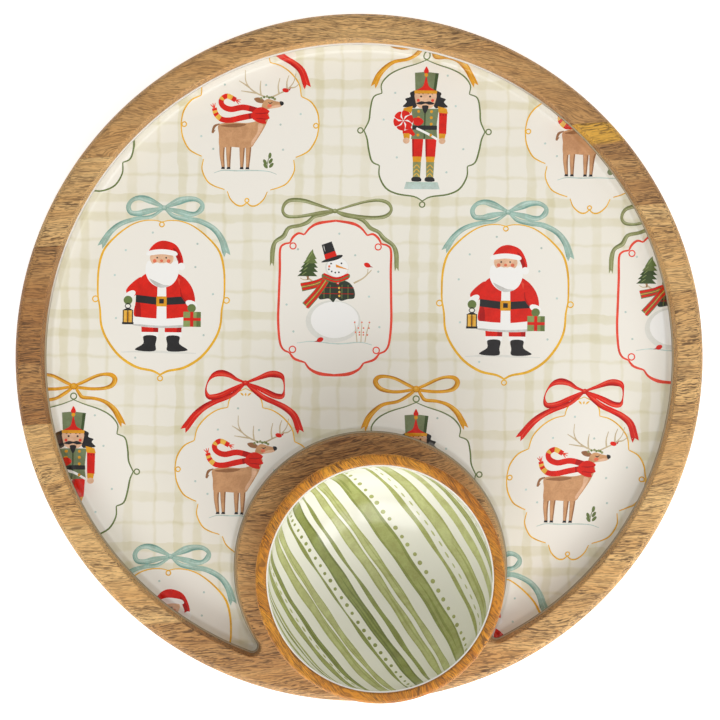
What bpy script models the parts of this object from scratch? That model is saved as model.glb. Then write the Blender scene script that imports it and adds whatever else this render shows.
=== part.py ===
"""Round wooden tray for chips, with a loose dip bowl that stands in a well at its edge.

The tray is a disc of edge-glued boards. A crescent recess for the food takes up most of its top,
lined with white enamel under a printed layer. The deck beside the recess holds a round well, and
a turned bowl with the same kind of lining stands in it and lifts straight out.
Z = 0 is the underside of the tray, and the Z axis goes through its centre. +Y is away from the bowl.
"""

import math

import bmesh
import bpy
from mathutils import Vector

MM = 0.001
FULL_TURN = 2.0 * math.pi

# All sizes are in millimetres, angles in degrees.

# Tray blank
TRAY_RADIUS = 190.5
TRAY_HEIGHT = 28.0
TOP_EDGE_ROUND = 4.0
BOTTOM_EDGE_ROUND = 6.0

# Boards: the glue lines run nearly along X, counted by where they cross the Y axis
BOARD_TILT = 4.0
GLUE_LINES = (120.6, 73.4, 24.6, -24.7, -81.9, -139.5)
PIECE_GAP = 0.3

# Crescent recess
RIM_WIDTH = 14.4
RECESS_DEPTH = 15.0
WALL_DRAFT = 13.0
COVE_RADIUS = 3.5
TIP_ROUND = 5.2
SHARPEST_TIP = 0.4

# Bowl
BOWL_RADIUS = 67.3
BOWL_HEIGHT = 57.0
BOWL_FOOT_RADIUS = 36.0
BOWL_FULLNESS = 1.8
BOWL_RIM_WIDTH = 6.0
BOWL_RIM_ROUND = 2.0
BOWL_FLOOR = 9.0
FOOT_HOLLOW_RADIUS = 28.0
FOOT_HOLLOW_DEPTH = 1.5

# Well for the bowl, and the strip of deck left between the well and the recess
WELL_DEPTH = 20.0
WELL_PLAY = 8.1
WELL_CORNER_ROUND = 2.0
DECK_BEYOND_RIM = 6.32
COLLAR_BEARING = 3.1
BOWL_SHIFT = 5.5
BOWL_SHIFT_BEARING = -25.0

# Linings, the same in the recess and in the bowl
GROUND_THICKNESS = 0.6
PRINT_THICKNESS = 0.3
TRAY_LINING_DROP = 6.0
BOWL_LINING_DROP = 1.0
WHITE_MARGIN = 0.8

# Smoothness of round shapes
TRAY_SEGMENTS = 96
BOWL_SEGMENTS = 48
RECESS_SEGMENTS = 64
COLLAR_SEGMENTS = 24
TIP_SEGMENTS = 4
EDGE_SEGMENTS = 3
WALL_STEPS = 8
CUT_MARGIN = 5.0

# Colours, linear red, green, blue
BOARD_COLOURS = (
    (0.35, 0.20, 0.10),
    (0.30, 0.17, 0.08),
    (0.38, 0.23, 0.12),
    (0.28, 0.15, 0.07),
    (0.36, 0.22, 0.11),
    (0.31, 0.18, 0.09),
    (0.34, 0.20, 0.10),
)
BOWL_WOOD_COLOUR = (0.42, 0.20, 0.07)
ENAMEL_COLOUR = (0.86, 0.85, 0.80)
TRAY_PRINT_COLOUR = (0.80, 0.78, 0.68)
BOWL_PRINT_COLOUR = (0.42, 0.48, 0.22)
WOOD_ROUGHNESS = 0.5
ENAMEL_ROUGHNESS = 0.15


def bowl_outer_radius(height):
    """Radius of the bowl's outside at this height over its foot."""
    closing = (1.0 - height / BOWL_HEIGHT) ** BOWL_FULLNESS
    return BOWL_FOOT_RADIUS + (BOWL_RADIUS - BOWL_FOOT_RADIUS) * (1.0 - closing)


RECESS_RADIUS = TRAY_RADIUS - RIM_WIDTH
RECESS_FLOOR = TRAY_HEIGHT - RECESS_DEPTH
WELL_FLOOR = TRAY_HEIGHT - WELL_DEPTH
WELL_RADIUS = bowl_outer_radius(WELL_DEPTH) + WELL_PLAY
COLLAR_RADIUS = BOWL_RADIUS + DECK_BEYOND_RIM
COLLAR_DISTANCE = TRAY_RADIUS - COLLAR_RADIUS
COLLAR_ANGLE = math.radians(COLLAR_BEARING - 90.0)
WELL_CENTRE = Vector((math.cos(COLLAR_ANGLE), math.sin(COLLAR_ANGLE))) * COLLAR_DISTANCE
SHIFT_ANGLE = math.radians(BOWL_SHIFT_BEARING)
BOWL_CENTRE = WELL_CENTRE + Vector((math.cos(SHIFT_ANGLE), math.sin(SHIFT_ANGLE))) * BOWL_SHIFT
BOWL_BASE = WELL_FLOOR + PIECE_GAP
GROUND_START = PIECE_GAP
GROUND_END = GROUND_START + GROUND_THICKNESS
PRINT_START = GROUND_END + PIECE_GAP
PRINT_END = PRINT_START + PRINT_THICKNESS


def clear_scene():
    for old in list(bpy.data.objects):
        bpy.data.objects.remove(old, do_unlink=True)


def make_material(name, colour, roughness):
    material = bpy.data.materials.new(name)
    material.use_nodes = True
    shader = material.node_tree.nodes["Principled BSDF"]
    shader.inputs["Base Color"].default_value = (*colour, 1.0)
    shader.inputs["Roughness"].default_value = roughness
    shader.inputs["Metallic"].default_value = 0.0
    return material


def make_object(name, bm, material=None):
    """Puts the bmesh in a new object, with every face pointing outwards."""
    bmesh.ops.recalc_face_normals(bm, faces=bm.faces)
    mesh = bpy.data.meshes.new(name)
    bm.to_mesh(mesh)
    bm.free()
    made = bpy.data.objects.new(name, mesh)
    bpy.context.scene.collection.objects.link(made)
    if material:
        mesh.materials.append(material)
    return made


def make_cutter(name, bm):
    made = make_object(name, bm)
    made.hide_render = True
    made.display_type = "WIRE"
    return made


def shade_round(made):
    made.data.shade_smooth()
    made.data.set_sharp_from_angle(angle=math.radians(40.0))


def arc(centre, radius, start, end, steps):
    """Points on a circle from one angle to another, both ends included; angles in radians."""
    angles = [start + (end - start) * step / steps for step in range(steps + 1)]
    return [Vector((radius * math.cos(a), radius * math.sin(a))) + Vector(centre) for a in angles]


def turn(profile, segments):
    """Spins a profile of (radius, height) points, whose ends lie on the axis, into a closed body."""
    bm = bmesh.new()
    points = [bm.verts.new((radius * MM, 0.0, height * MM)) for radius, height in profile]
    edges = [bm.edges.new(pair) for pair in zip(points, points[1:])]
    bmesh.ops.spin(
        bm,
        geom=points + edges,
        cent=(0.0, 0.0, 0.0),
        axis=(0.0, 0.0, 1.0),
        angle=FULL_TURN,
        steps=segments,
        use_merge=True,
    )
    bmesh.ops.remove_doubles(bm, verts=bm.verts, dist=0.001 * MM)
    return bm


def loft(rings):
    """Joins rings of equally many (x, y, z) points into a closed body with a flat face at each end."""
    bm = bmesh.new()
    rows = [[bm.verts.new((x * MM, y * MM, z * MM)) for x, y, z in ring] for ring in rings]
    count = len(rows[0])
    for below, above in zip(rows, rows[1:]):
        for i in range(count):
            j = (i + 1) % count
            bm.faces.new((below[i], below[j], above[j], above[i]))
    bm.faces.new(reversed(rows[0]))
    bm.faces.new(rows[-1])
    return bm


def bearing(direction):
    return math.atan2(direction.y, direction.x)


def crescent(inset, height):
    """The recess's outline, moved inwards by inset: rim arc, left tip, collar arc, right tip."""
    outer = RECESS_RADIUS - inset
    inner = COLLAR_RADIUS + inset
    tip = max(TIP_ROUND - inset, SHARPEST_TIP)
    far = outer - tip
    near = inner + tip
    spread = math.acos((far**2 + COLLAR_DISTANCE**2 - near**2) / (2.0 * far * COLLAR_DISTANCE))
    right = COLLAR_ANGLE + spread
    left = COLLAR_ANGLE - spread + FULL_TURN
    right_tip = Vector((math.cos(right), math.sin(right))) * far
    left_tip = Vector((math.cos(left), math.sin(left))) * far
    from_right = bearing(WELL_CENTRE - right_tip)
    from_left = bearing(WELL_CENTRE - left_tip)
    collar_start = from_left + math.pi
    collar_sweep = (from_left - from_right) % FULL_TURN
    points = arc((0.0, 0.0), outer, right, left, RECESS_SEGMENTS)
    points += arc(left_tip, tip, left, left + (from_left - left) % FULL_TURN, TIP_SEGMENTS)[1:]
    points += arc(WELL_CENTRE, inner, collar_start, collar_start - collar_sweep, COLLAR_SEGMENTS)[1:]
    to_right = from_right + (right - from_right) % FULL_TURN
    points += arc(right_tip, tip, from_right, to_right, TIP_SEGMENTS)[1:-1]
    return [(point.x, point.y, height) for point in points]


def recess_section(offset, top):
    """(inset, height) points down the recess's wall and cove to its floor, offset into the recess."""
    draft = math.radians(WALL_DRAFT)
    wall_foot = RECESS_FLOOR + COVE_RADIUS * (1.0 - math.sin(draft))
    cove_inset = (TRAY_HEIGHT - wall_foot) * math.tan(draft) + COVE_RADIUS * math.cos(draft)
    cove_height = RECESS_FLOOR + COVE_RADIUS
    radius = COVE_RADIUS - offset
    section = [((TRAY_HEIGHT - top) * math.tan(draft) + offset / math.cos(draft), top)]
    for step in range(EDGE_SEGMENTS + 1):
        angle = draft + (math.pi / 2.0 - draft) * step / EDGE_SEGMENTS
        section.append((cove_inset - radius * math.cos(angle), cove_height - radius * math.sin(angle)))
    return section


def recess_cutter():
    section = recess_section(0.0, TRAY_HEIGHT + CUT_MARGIN)
    return make_cutter("recess_cutter", loft([crescent(inset, height) for inset, height in section[::-1]]))


def well_cutter():
    corner_centre = (WELL_RADIUS - WELL_CORNER_ROUND, WELL_FLOOR + WELL_CORNER_ROUND)
    corner = arc(corner_centre, WELL_CORNER_ROUND, -math.pi / 2.0, 0.0, EDGE_SEGMENTS)
    top = TRAY_HEIGHT + CUT_MARGIN
    profile = [(0.0, WELL_FLOOR), *corner, (WELL_RADIUS, top), (0.0, top)]
    made = make_cutter("well_cutter", turn(profile, BOWL_SEGMENTS))
    made.location = (WELL_CENTRE.x * MM, WELL_CENTRE.y * MM, 0.0)
    return made


def tray_blank():
    """The whole disc before it is carved, used to round the boards off."""
    low_centre = (TRAY_RADIUS - BOTTOM_EDGE_ROUND, BOTTOM_EDGE_ROUND)
    low = arc(low_centre, BOTTOM_EDGE_ROUND, -math.pi / 2.0, 0.0, EDGE_SEGMENTS)
    high_centre = (TRAY_RADIUS - TOP_EDGE_ROUND, TRAY_HEIGHT - TOP_EDGE_ROUND)
    high = arc(high_centre, TOP_EDGE_ROUND, 0.0, math.pi / 2.0, EDGE_SEGMENTS)
    profile = [(0.0, 0.0), *low, *high, (0.0, TRAY_HEIGHT)]
    return make_cutter("tray_blank", turn(profile, TRAY_SEGMENTS))


def board(number, high_line, low_line, cutters):
    """A plank between two glue lines, rounded off by the blank, less the recess and the well."""
    tilt = math.radians(BOARD_TILT)
    length = 2.0 * (TRAY_RADIUS + CUT_MARGIN)
    width = (high_line - low_line) * math.cos(tilt) - PIECE_GAP
    thickness = TRAY_HEIGHT + 2.0 * CUT_MARGIN
    bm = bmesh.new()
    bmesh.ops.create_cube(bm, size=1.0)
    bmesh.ops.scale(bm, verts=bm.verts, vec=(length * MM, width * MM, thickness * MM))
    material = make_material(f"mango_board_{number}", BOARD_COLOURS[number - 1], WOOD_ROUGHNESS)
    plank = make_object(f"tray_board_{number}", bm, material)
    middle = (high_line + low_line) / 2.0 * math.cos(tilt)
    plank.location = (-middle * math.sin(tilt) * MM, middle * math.cos(tilt) * MM, TRAY_HEIGHT / 2.0 * MM)
    plank.rotation_euler = (0.0, 0.0, tilt)
    for cutter, operation in zip(cutters, ("INTERSECT", "DIFFERENCE", "DIFFERENCE")):
        cut = plank.modifiers.new(cutter.name, "BOOLEAN")
        cut.operation = operation
        cut.solver = "EXACT"
        cut.object = cutter
    return plank


def tray_boards():
    cutters = (tray_blank(), recess_cutter(), well_cutter())
    reach = TRAY_RADIUS + CUT_MARGIN
    lines = (reach, *GLUE_LINES, -reach)
    for number, (high, low) in enumerate(zip(lines, lines[1:]), start=1):
        board(number, high, low, cutters)


def tray_lining(name, start, end, top, material):
    """A thin layer over the recess's floor, cove and lower wall."""
    under = recess_section(start, top)[::-1]
    over = recess_section(end, top)
    made = make_object(name, loft([crescent(inset, height) for inset, height in under + over]), material)
    shade_round(made)
    return made


def bowl_cavity(offset, drop):
    """(radius, height) points from the centre of the cavity up to its mouth, offset into the cavity."""
    across = BOWL_RADIUS - BOWL_RIM_WIDTH - offset
    depth = BOWL_HEIGHT - BOWL_FLOOR - offset
    end = math.acos(drop / depth)
    angles = [end * step / WALL_STEPS for step in range(WALL_STEPS + 1)]
    return [(across * math.sin(angle), BOWL_HEIGHT - depth * math.cos(angle)) for angle in angles]


def bowl_body(stand):
    """The turned wooden bowl: hollow foot, full sides, rounded rim and a half-ellipsoid cavity."""
    rim_height = BOWL_HEIGHT - BOWL_RIM_ROUND
    outside = [
        (bowl_outer_radius(rim_height * step / WALL_STEPS), rim_height * step / WALL_STEPS)
        for step in range(WALL_STEPS + 1)
    ]
    outer_corner = outside[-1][0] - BOWL_RIM_ROUND
    rim_outer = arc((outer_corner, rim_height), BOWL_RIM_ROUND, 0.0, math.pi / 2.0, EDGE_SEGMENTS)[1:]
    cavity = bowl_cavity(0.0, BOWL_RIM_ROUND)
    inner_corner = cavity[-1][0] + BOWL_RIM_ROUND
    rim_inner = arc((inner_corner, rim_height), BOWL_RIM_ROUND, math.pi / 2.0, math.pi, EDGE_SEGMENTS)[:-1]
    foot = [(0.0, FOOT_HOLLOW_DEPTH), (FOOT_HOLLOW_RADIUS, FOOT_HOLLOW_DEPTH), (FOOT_HOLLOW_RADIUS, 0.0)]
    profile = [*foot, *outside, *rim_outer, *rim_inner, *cavity[::-1]]
    material = make_material("mango_bowl", BOWL_WOOD_COLOUR, WOOD_ROUGHNESS)
    made = make_object("bowl_wood", turn(profile, BOWL_SEGMENTS), material)
    shade_round(made)
    made.parent = stand


def bowl_lining(name, start, end, drop, material, stand):
    under = bowl_cavity(start, drop)
    over = bowl_cavity(end, drop)
    made = make_object(name, turn([*under, *over[::-1]], BOWL_SEGMENTS), material)
    shade_round(made)
    made.parent = stand


def bowl():
    """The bowl and its linings hang from an empty on the line along which the bowl lifts out."""
    stand = bpy.data.objects.new("bowl_stand", None)
    bpy.context.scene.collection.objects.link(stand)
    stand.location = (BOWL_CENTRE.x * MM, BOWL_CENTRE.y * MM, BOWL_BASE * MM)
    bowl_body(stand)
    ground = make_material("bowl_white_enamel", ENAMEL_COLOUR, ENAMEL_ROUGHNESS)
    bowl_lining("bowl_enamel", GROUND_START, GROUND_END, BOWL_LINING_DROP, ground, stand)
    printed = make_material("bowl_printed_enamel", BOWL_PRINT_COLOUR, ENAMEL_ROUGHNESS)
    bowl_lining("bowl_print", PRINT_START, PRINT_END, BOWL_LINING_DROP + WHITE_MARGIN, printed, stand)


def main():
    clear_scene()
    tray_boards()
    top = TRAY_HEIGHT - TRAY_LINING_DROP
    ground = make_material("tray_white_enamel", ENAMEL_COLOUR, ENAMEL_ROUGHNESS)
    tray_lining("tray_enamel", GROUND_START, GROUND_END, top, ground)
    printed = make_material("tray_printed_enamel", TRAY_PRINT_COLOUR, ENAMEL_ROUGHNESS)
    tray_lining("tray_print", PRINT_START, PRINT_END, top - WHITE_MARGIN, printed)
    bowl()


main()
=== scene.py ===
"""Looks of a round mango chip and dip server with printed enamel linings.

Every piece is built around the fixed frame: seven carved boards, the white enamel and the printed layer in
the crescent recess, and the turned bowl with its own white enamel and striped layer. The pictures of the
print are painted shapes with plain outlines, set down again and again and cut to the recess's edge.
Lengths are in millimetres until a mesh is made, and X, Y and Z are the frame's own axes.
"""

import math
import random
from functools import partial

import bmesh
import bpy
import numpy as np
from mathutils import Matrix, Vector
from mathutils.geometry import delaunay_2d_cdt


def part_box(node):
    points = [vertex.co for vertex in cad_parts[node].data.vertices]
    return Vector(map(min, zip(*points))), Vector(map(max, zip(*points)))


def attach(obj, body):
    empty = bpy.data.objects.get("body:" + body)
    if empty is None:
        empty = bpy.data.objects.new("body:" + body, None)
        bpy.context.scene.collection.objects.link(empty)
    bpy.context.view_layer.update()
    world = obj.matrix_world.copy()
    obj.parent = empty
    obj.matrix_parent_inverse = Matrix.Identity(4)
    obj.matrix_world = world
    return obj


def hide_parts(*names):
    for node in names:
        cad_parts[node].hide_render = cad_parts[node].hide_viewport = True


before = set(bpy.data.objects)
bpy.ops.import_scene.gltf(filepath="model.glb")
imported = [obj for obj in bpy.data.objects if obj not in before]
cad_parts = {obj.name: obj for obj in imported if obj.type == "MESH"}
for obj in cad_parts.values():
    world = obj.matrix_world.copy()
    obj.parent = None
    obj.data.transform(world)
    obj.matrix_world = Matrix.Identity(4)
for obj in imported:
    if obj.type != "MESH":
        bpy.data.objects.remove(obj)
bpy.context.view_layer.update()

bl_info = {
    "name": "Chip and Dip Server",
    "version": (1, 0, 0),
    "blender": (4, 5, 0),
    "location": "View3D > Sidebar > Server",
    "description": "Builds a round mango serving tray with printed enamel and a dip bowl",
    "category": "Add Mesh",
}

MM = 0.001
FULL_TURN = 2.0 * math.pi

# What the frame says, in millimetres
BLANK_LOW, BLANK_HIGH = (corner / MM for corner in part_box("tray_board_4"))
TRAY_RADIUS = BLANK_HIGH.x
TRAY_HEIGHT = BLANK_HIGH.z
BOWL_LOW, BOWL_HIGH = (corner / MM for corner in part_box("bowl_wood"))
BOWL_CENTRE = Vector(((BOWL_LOW.x + BOWL_HIGH.x) / 2.0, (BOWL_LOW.y + BOWL_HIGH.y) / 2.0, BOWL_LOW.z))
BOWL_RADIUS = (BOWL_HIGH.x - BOWL_LOW.x) / 2.0
BOWL_HEIGHT = BOWL_HIGH.z - BOWL_LOW.z

# Sizes that the frame's solids were made with
WELL_CENTRE = Vector((6.32, -116.71))
WELL_RADIUS = 61.02
COLLAR_RADIUS = 73.62
WELL_DEPTH = 20.0
WALL_DRAFT = math.radians(13.0)
COVE_RADIUS = 3.5
SHARPEST_TIP = 0.4
BOARD_TILT = math.radians(4.0)
GLUE_LINES = (120.6, 73.4, 24.6, -24.7, -81.9, -139.5)
BOWL_FOOT_RADIUS = 36.0
BOWL_FULLNESS = 1.8
BOWL_FLOOR = 9.0
FOOT_HOLLOW_RADIUS = 28.0
FOOT_HOLLOW_DEPTH = 1.5

# Thin coats, measured from the wood
COAT_START = 0.02
GROUND_COAT = 0.6
PRINT_START = 0.62
PRINT_COAT = 0.8
WHITE_MARGIN = 0.7
PRINT_SHEET = 0.15

# Fineness of round shapes
DISC_STEPS = 256
WELL_STEPS = 128
BOWL_STEPS = 192
DECAL_RINGS = 26
DECAL_POINTS_PER_MM = 1.8
SMOOTH_ANGLE = math.radians(35.0)
WELL_CORNER_ROUND = 2.0
FLAT_SUPPORT = 0.4

# Middle and sideways skew of the framed pictures that show in the recess; all of them lean the same way
PICTURE_LEAN = math.radians(-0.7)
DEER_PLACES = ((-60.9, 130.3, 0.03), (131.4, 126.2, 0.05), (-64.4, -62.5, 0.01), (121.0, -67.2, 0.095))
SOLDIER_PLACES = ((-156.4, 130.8, 0.0), (36.6, 128.6, 0.02), (-160.0, -61.2, 0.0), (31.4, -62.8, 0.0))
BEARDED_PLACES = ((-110.7, 32.7, 0.0), (81.5, 30.3, 0.0), (-107.1, -162.0, 0.0), (66.6, -165.4, 0.0))
SNOWMAN_PLACES = ((-13.5, 32.2, 0.0), (175.9, 28.0, 0.0))


# ---------------------------------------------------------------- settings


def linear(hex_colour):
    """An sRGB hex colour such as "C08A50" as linear red, green, blue and alpha."""
    values = [int(hex_colour[i : i + 2], 16) / 255.0 for i in (0, 2, 4)]
    return (*[v / 12.92 if v <= 0.04045 else ((v + 0.055) / 1.055) ** 2.4 for v in values], 1.0)


def colour_property(name, description, hex_colour):
    colour = linear(hex_colour)
    return bpy.props.FloatVectorProperty(
        name=name, description=description, default=colour, subtype="COLOR", size=4, min=0.0, max=1.0
    )


def length_property(name, description, millimetres):
    length = millimetres * MM
    return bpy.props.FloatProperty(
        name=name, description=description, default=length, min=0.0, subtype="DISTANCE", unit="LENGTH"
    )


class TraySettings(bpy.types.PropertyGroup):
    """Sizes and colours of the tray."""

    rim_width: length_property("Rim width", "Flat top of the rim beside the recess", 14.4)
    recess_depth: length_property("Recess depth", "From the rim's top to the bare floor", 15.0)
    lining_drop: length_property("Lining drop", "From the rim's top to the enamel's edge", 6.0)
    tip_round: length_property("Tip round", "Radius of the crescent's two ends", 5.2)
    top_edge: length_property("Top edge", "Rounding of the outer top edge", 4.0)
    bottom_edge: length_property("Bottom edge", "Rounding of the outer bottom edge", 6.0)
    lip_round: length_property("Lip round", "Softening of the edges of the recess and the well", 0.9)
    glue_gap: length_property("Glue line", "Width of the line between two boards", 0.08)
    dark: colour_property("Dark grain", "Pores and late wood", "40260F")
    mid: colour_property("Middle tone", "Most of the wood", "D8A563")
    light: colour_property("Light grain", "Early wood", "F2C886")


class BowlSettings(bpy.types.PropertyGroup):
    """Sizes and colours of the bowl."""

    rim_width: length_property("Rim width", "Wood between the outside and the enamel", 6.0)
    rim_round: length_property("Rim round", "Rounding of both edges of the rim", 2.0)
    lining_drop: length_property("Lining drop", "From the rim's top to the enamel's edge", 1.0)
    dark: colour_property("Dark grain", "Pores and late wood", "3A1B06")
    mid: colour_property("Middle tone", "Most of the wood", "CA780E")
    light: colour_property("Light grain", "Early wood", "EEA628")


class PrintSettings(bpy.types.PropertyGroup):
    """Colours of the printed layers."""

    ground: colour_property("Ground", "Unprinted ground of the plaid", "EFEADC")
    plaid: colour_property("Plaid", "Wash that each of the plaid's bands lays over the ground", "F3F1E3")
    stripe_ground: colour_property("Bowl ground", "Unprinted ground between the bowl's stripes", "EDEBDD")


class StageSettings(bpy.types.PropertyGroup):
    """Floor, light and camera distance."""

    floor: colour_property("Floor", "Plain floor under the server", "FAFAFA")
    key_power: bpy.props.FloatProperty(
        name="Key light", description="Power of the two soft key lights", default=21.0, min=0.0, unit="POWER"
    )
    ambient: bpy.props.FloatProperty(
        name="Ambient", description="Strength of the white light from all round", default=0.55, min=0.0
    )
    camera_height: length_property("Camera height", "From the tray's top to the camera", 1300.0)
    focal_length: bpy.props.FloatProperty(
        name="Focal length", description="Lens on a 36 mm sensor", default=117.6, min=1.0, unit="CAMERA"
    )


def settings(name):
    """One of this file's property groups on the current scene."""
    return getattr(bpy.context.scene, f"server_{name}")


# ---------------------------------------------------------------- meshes and node trees

MATH = "ShaderNodeMath"
VECTOR = "ShaderNodeVectorMath"
TURN = "ShaderNodeVectorRotate"
RANGE = "ShaderNodeMapRange"
MIX = "ShaderNodeMix"
SMOOTH = {"interpolation_type": "SMOOTHSTEP"}
COLOUR = {"data_type": "RGBA", "out": 2}


def add_node(tree, kind, *inputs, out=0, named=None, **settings):
    """Adds a node with its settings, and its inputs' values or links in order or by name; gives an output."""
    made = tree.nodes.new(kind)
    for name, value in settings.items():
        setattr(made, name, value)
    for key, value in [*enumerate(inputs), *(named or {}).items()]:
        if isinstance(value, bpy.types.NodeSocket):
            tree.links.new(value, made.inputs[key])
        else:
            made.inputs[key].default_value = value
    return made.outputs[out] if made.outputs else None


def link_object(name, data):
    made = bpy.data.objects.new(name, data)
    bpy.context.scene.collection.objects.link(made)
    return made


def mesh_object(name, vertices, faces, materials):
    """A new object from points in millimetres, shaded smooth except where faces meet sharply."""
    mesh = bpy.data.meshes.new(name)
    mesh.from_pydata([tuple(c * MM for c in vertex) for vertex in vertices], [], faces)
    for material in materials:
        mesh.materials.append(material)
    mesh.shade_smooth()
    mesh.set_sharp_from_angle(angle=SMOOTH_ANGLE)
    mesh.validate()
    return link_object(name, mesh)


def body_object(name, bm, material):
    """A new object from a bmesh in millimetres, which it uses up."""
    bmesh.ops.scale(bm, verts=bm.verts, vec=(MM, MM, MM))
    bmesh.ops.recalc_face_normals(bm, faces=bm.faces)
    mesh = bpy.data.meshes.new(name)
    bm.to_mesh(mesh)
    bm.free()
    mesh.materials.append(material)
    mesh.shade_smooth()
    mesh.set_sharp_from_angle(angle=SMOOTH_ANGLE)
    return link_object(name, mesh)


def run_tree(made, tree, values):
    """Runs a Geometry Nodes tree on an object with these inputs and keeps the result as its plain mesh."""
    modifier = made.modifiers.new(tree.name, "NODES")
    modifier.node_group = tree
    sockets = {item.name: item.identifier for item in tree.interface.items_tree if item.in_out == "INPUT"}
    for name, value in values.items():
        modifier[sockets[name]] = value
    made.update_tag()
    bpy.context.view_layer.update()
    shown = made.evaluated_get(bpy.context.evaluated_depsgraph_get())
    mesh = bpy.data.meshes.new_from_object(shown)
    made.modifiers.clear()
    made.data = mesh


def new_tree(name, **inputs):
    """An empty Geometry Nodes tree with these inputs; gives it and the sockets that bring them in."""
    tree = bpy.data.node_groups.new(name, "GeometryNodeTree")
    for label, kind in inputs.items():
        tree.interface.new_socket(label, in_out="INPUT", socket_type=f"NodeSocket{kind}")
    tree.interface.new_socket("Geometry", in_out="OUTPUT", socket_type="NodeSocketGeometry")
    return tree, add_node(tree, "NodeGroupInput").node.outputs


def close_tree(tree, geometry, material):
    """Ends a tree in Realize Instances and Set Material."""
    real = add_node(tree, "GeometryNodeRealizeInstances", geometry)
    painted = add_node(tree, "GeometryNodeSetMaterial", named={"Geometry": real, "Material": material})
    add_node(tree, "NodeGroupOutput", painted)
    return tree


def turning_tree():
    """Spins a profile, a row of points in the XZ plane, round a vertical axis into a closed body."""
    numbers = {"Points": "Int", "Steps": "Int", "Centre": "Vector", "Merge": "Float"}
    tree, given = new_tree("Turned piece", Profile="Object", Material="Material", **numbers)
    add = partial(add_node, tree)
    columns = add(MATH, given["Steps"], 1.0, operation="ADD")
    grid = add("GeometryNodeMeshGrid", named={"Vertices X": columns, "Vertices Y": given["Points"]})
    index = add("GeometryNodeInputIndex")
    column = add(MATH, add(MATH, index, given["Points"], operation="DIVIDE"), operation="FLOOR")
    row = add(MATH, index, given["Points"], operation="MODULO")
    share = add(MATH, column, given["Steps"], operation="DIVIDE")
    angle = add(MATH, share, FULL_TURN, operation="MULTIPLY")
    profile = add("GeometryNodeObjectInfo", out="Geometry", named={"Object": given["Profile"]})
    place = add("GeometryNodeInputPosition")
    source = {"Geometry": profile, "Value": place, "Index": row}
    sample = add("GeometryNodeSampleIndex", out="Value", data_type="FLOAT_VECTOR", named=source)
    spun = add(TURN, rotation_type="Z_AXIS", named={"Vector": sample, "Angle": angle})
    placed = add(VECTOR, spun, given["Centre"], operation="ADD")
    shaped = add("GeometryNodeSetPosition", named={"Geometry": grid, "Position": placed})
    closed = add("GeometryNodeMergeByDistance", named={"Geometry": shaped, "Distance": given["Merge"]})
    return close_tree(tree, add("GeometryNodeSetShadeSmooth", closed), given["Material"])


def repeat_tree():
    """Sets one picture down at every point of a guide, all copies turned alike and each skewed sideways.

    The picture's points carry their height and the guide's points their skew as named attributes.
    """
    guides = {"Picture": "Object", "Places": "Object"}
    tree, given = new_tree("Picture repeat", Turn="Vector", Material="Material", **guides)
    add = partial(add_node, tree)
    picture, places = [
        add("GeometryNodeObjectInfo", out="Geometry", named={"Object": given[name]}) for name in guides
    ]
    setting = {"Points": places, "Instance": picture, "Rotation": given["Turn"]}
    real = add("GeometryNodeRealizeInstances", add("GeometryNodeInstanceOnPoints", named=setting))
    height, skew = [
        add("GeometryNodeInputNamedAttribute", out="Attribute", data_type="FLOAT", named={"Name": name})
        for name in ("height", "skew")
    ]
    offset = add("ShaderNodeCombineXYZ", add(MATH, height, skew, operation="MULTIPLY"))
    skewed = add("GeometryNodeSetPosition", named={"Geometry": real, "Offset": offset})
    return close_tree(tree, skewed, given["Material"])


def turned_piece(name, profile, centre, material):
    """A closed turned body from (radius, height) points that start and end on the axis."""
    guide = mesh_object(f"{name}_profile", [(radius, 0.0, height) for radius, height in profile], [], [])
    made = link_object(name, bpy.data.meshes.new(name))
    sizes = {"Points": len(profile), "Steps": BOWL_STEPS, "Centre": [c * MM for c in centre], "Merge": 1e-6}
    run_tree(made, turning_tree(), {"Profile": guide, "Material": material, **sizes})
    bpy.data.objects.remove(guide)
    bm = bmesh.new()
    bm.from_mesh(made.data)
    bmesh.ops.recalc_face_normals(bm, faces=bm.faces)
    bm.to_mesh(made.data)
    bm.free()
    made.data.set_sharp_from_angle(angle=SMOOTH_ANGLE)
    return made


def arc(centre, radius, start, end, steps):
    """Points on a circle from one angle to another, both ends included."""
    angles = [start + (end - start) * step / steps for step in range(steps + 1)]
    return [Vector((radius * math.cos(a), radius * math.sin(a))) + Vector(centre) for a in angles]


def circle(centre, radius, steps):
    return arc(centre, radius, 0.0, FULL_TURN, steps)[:-1]


# ---------------------------------------------------------------- the tray's shape


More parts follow.
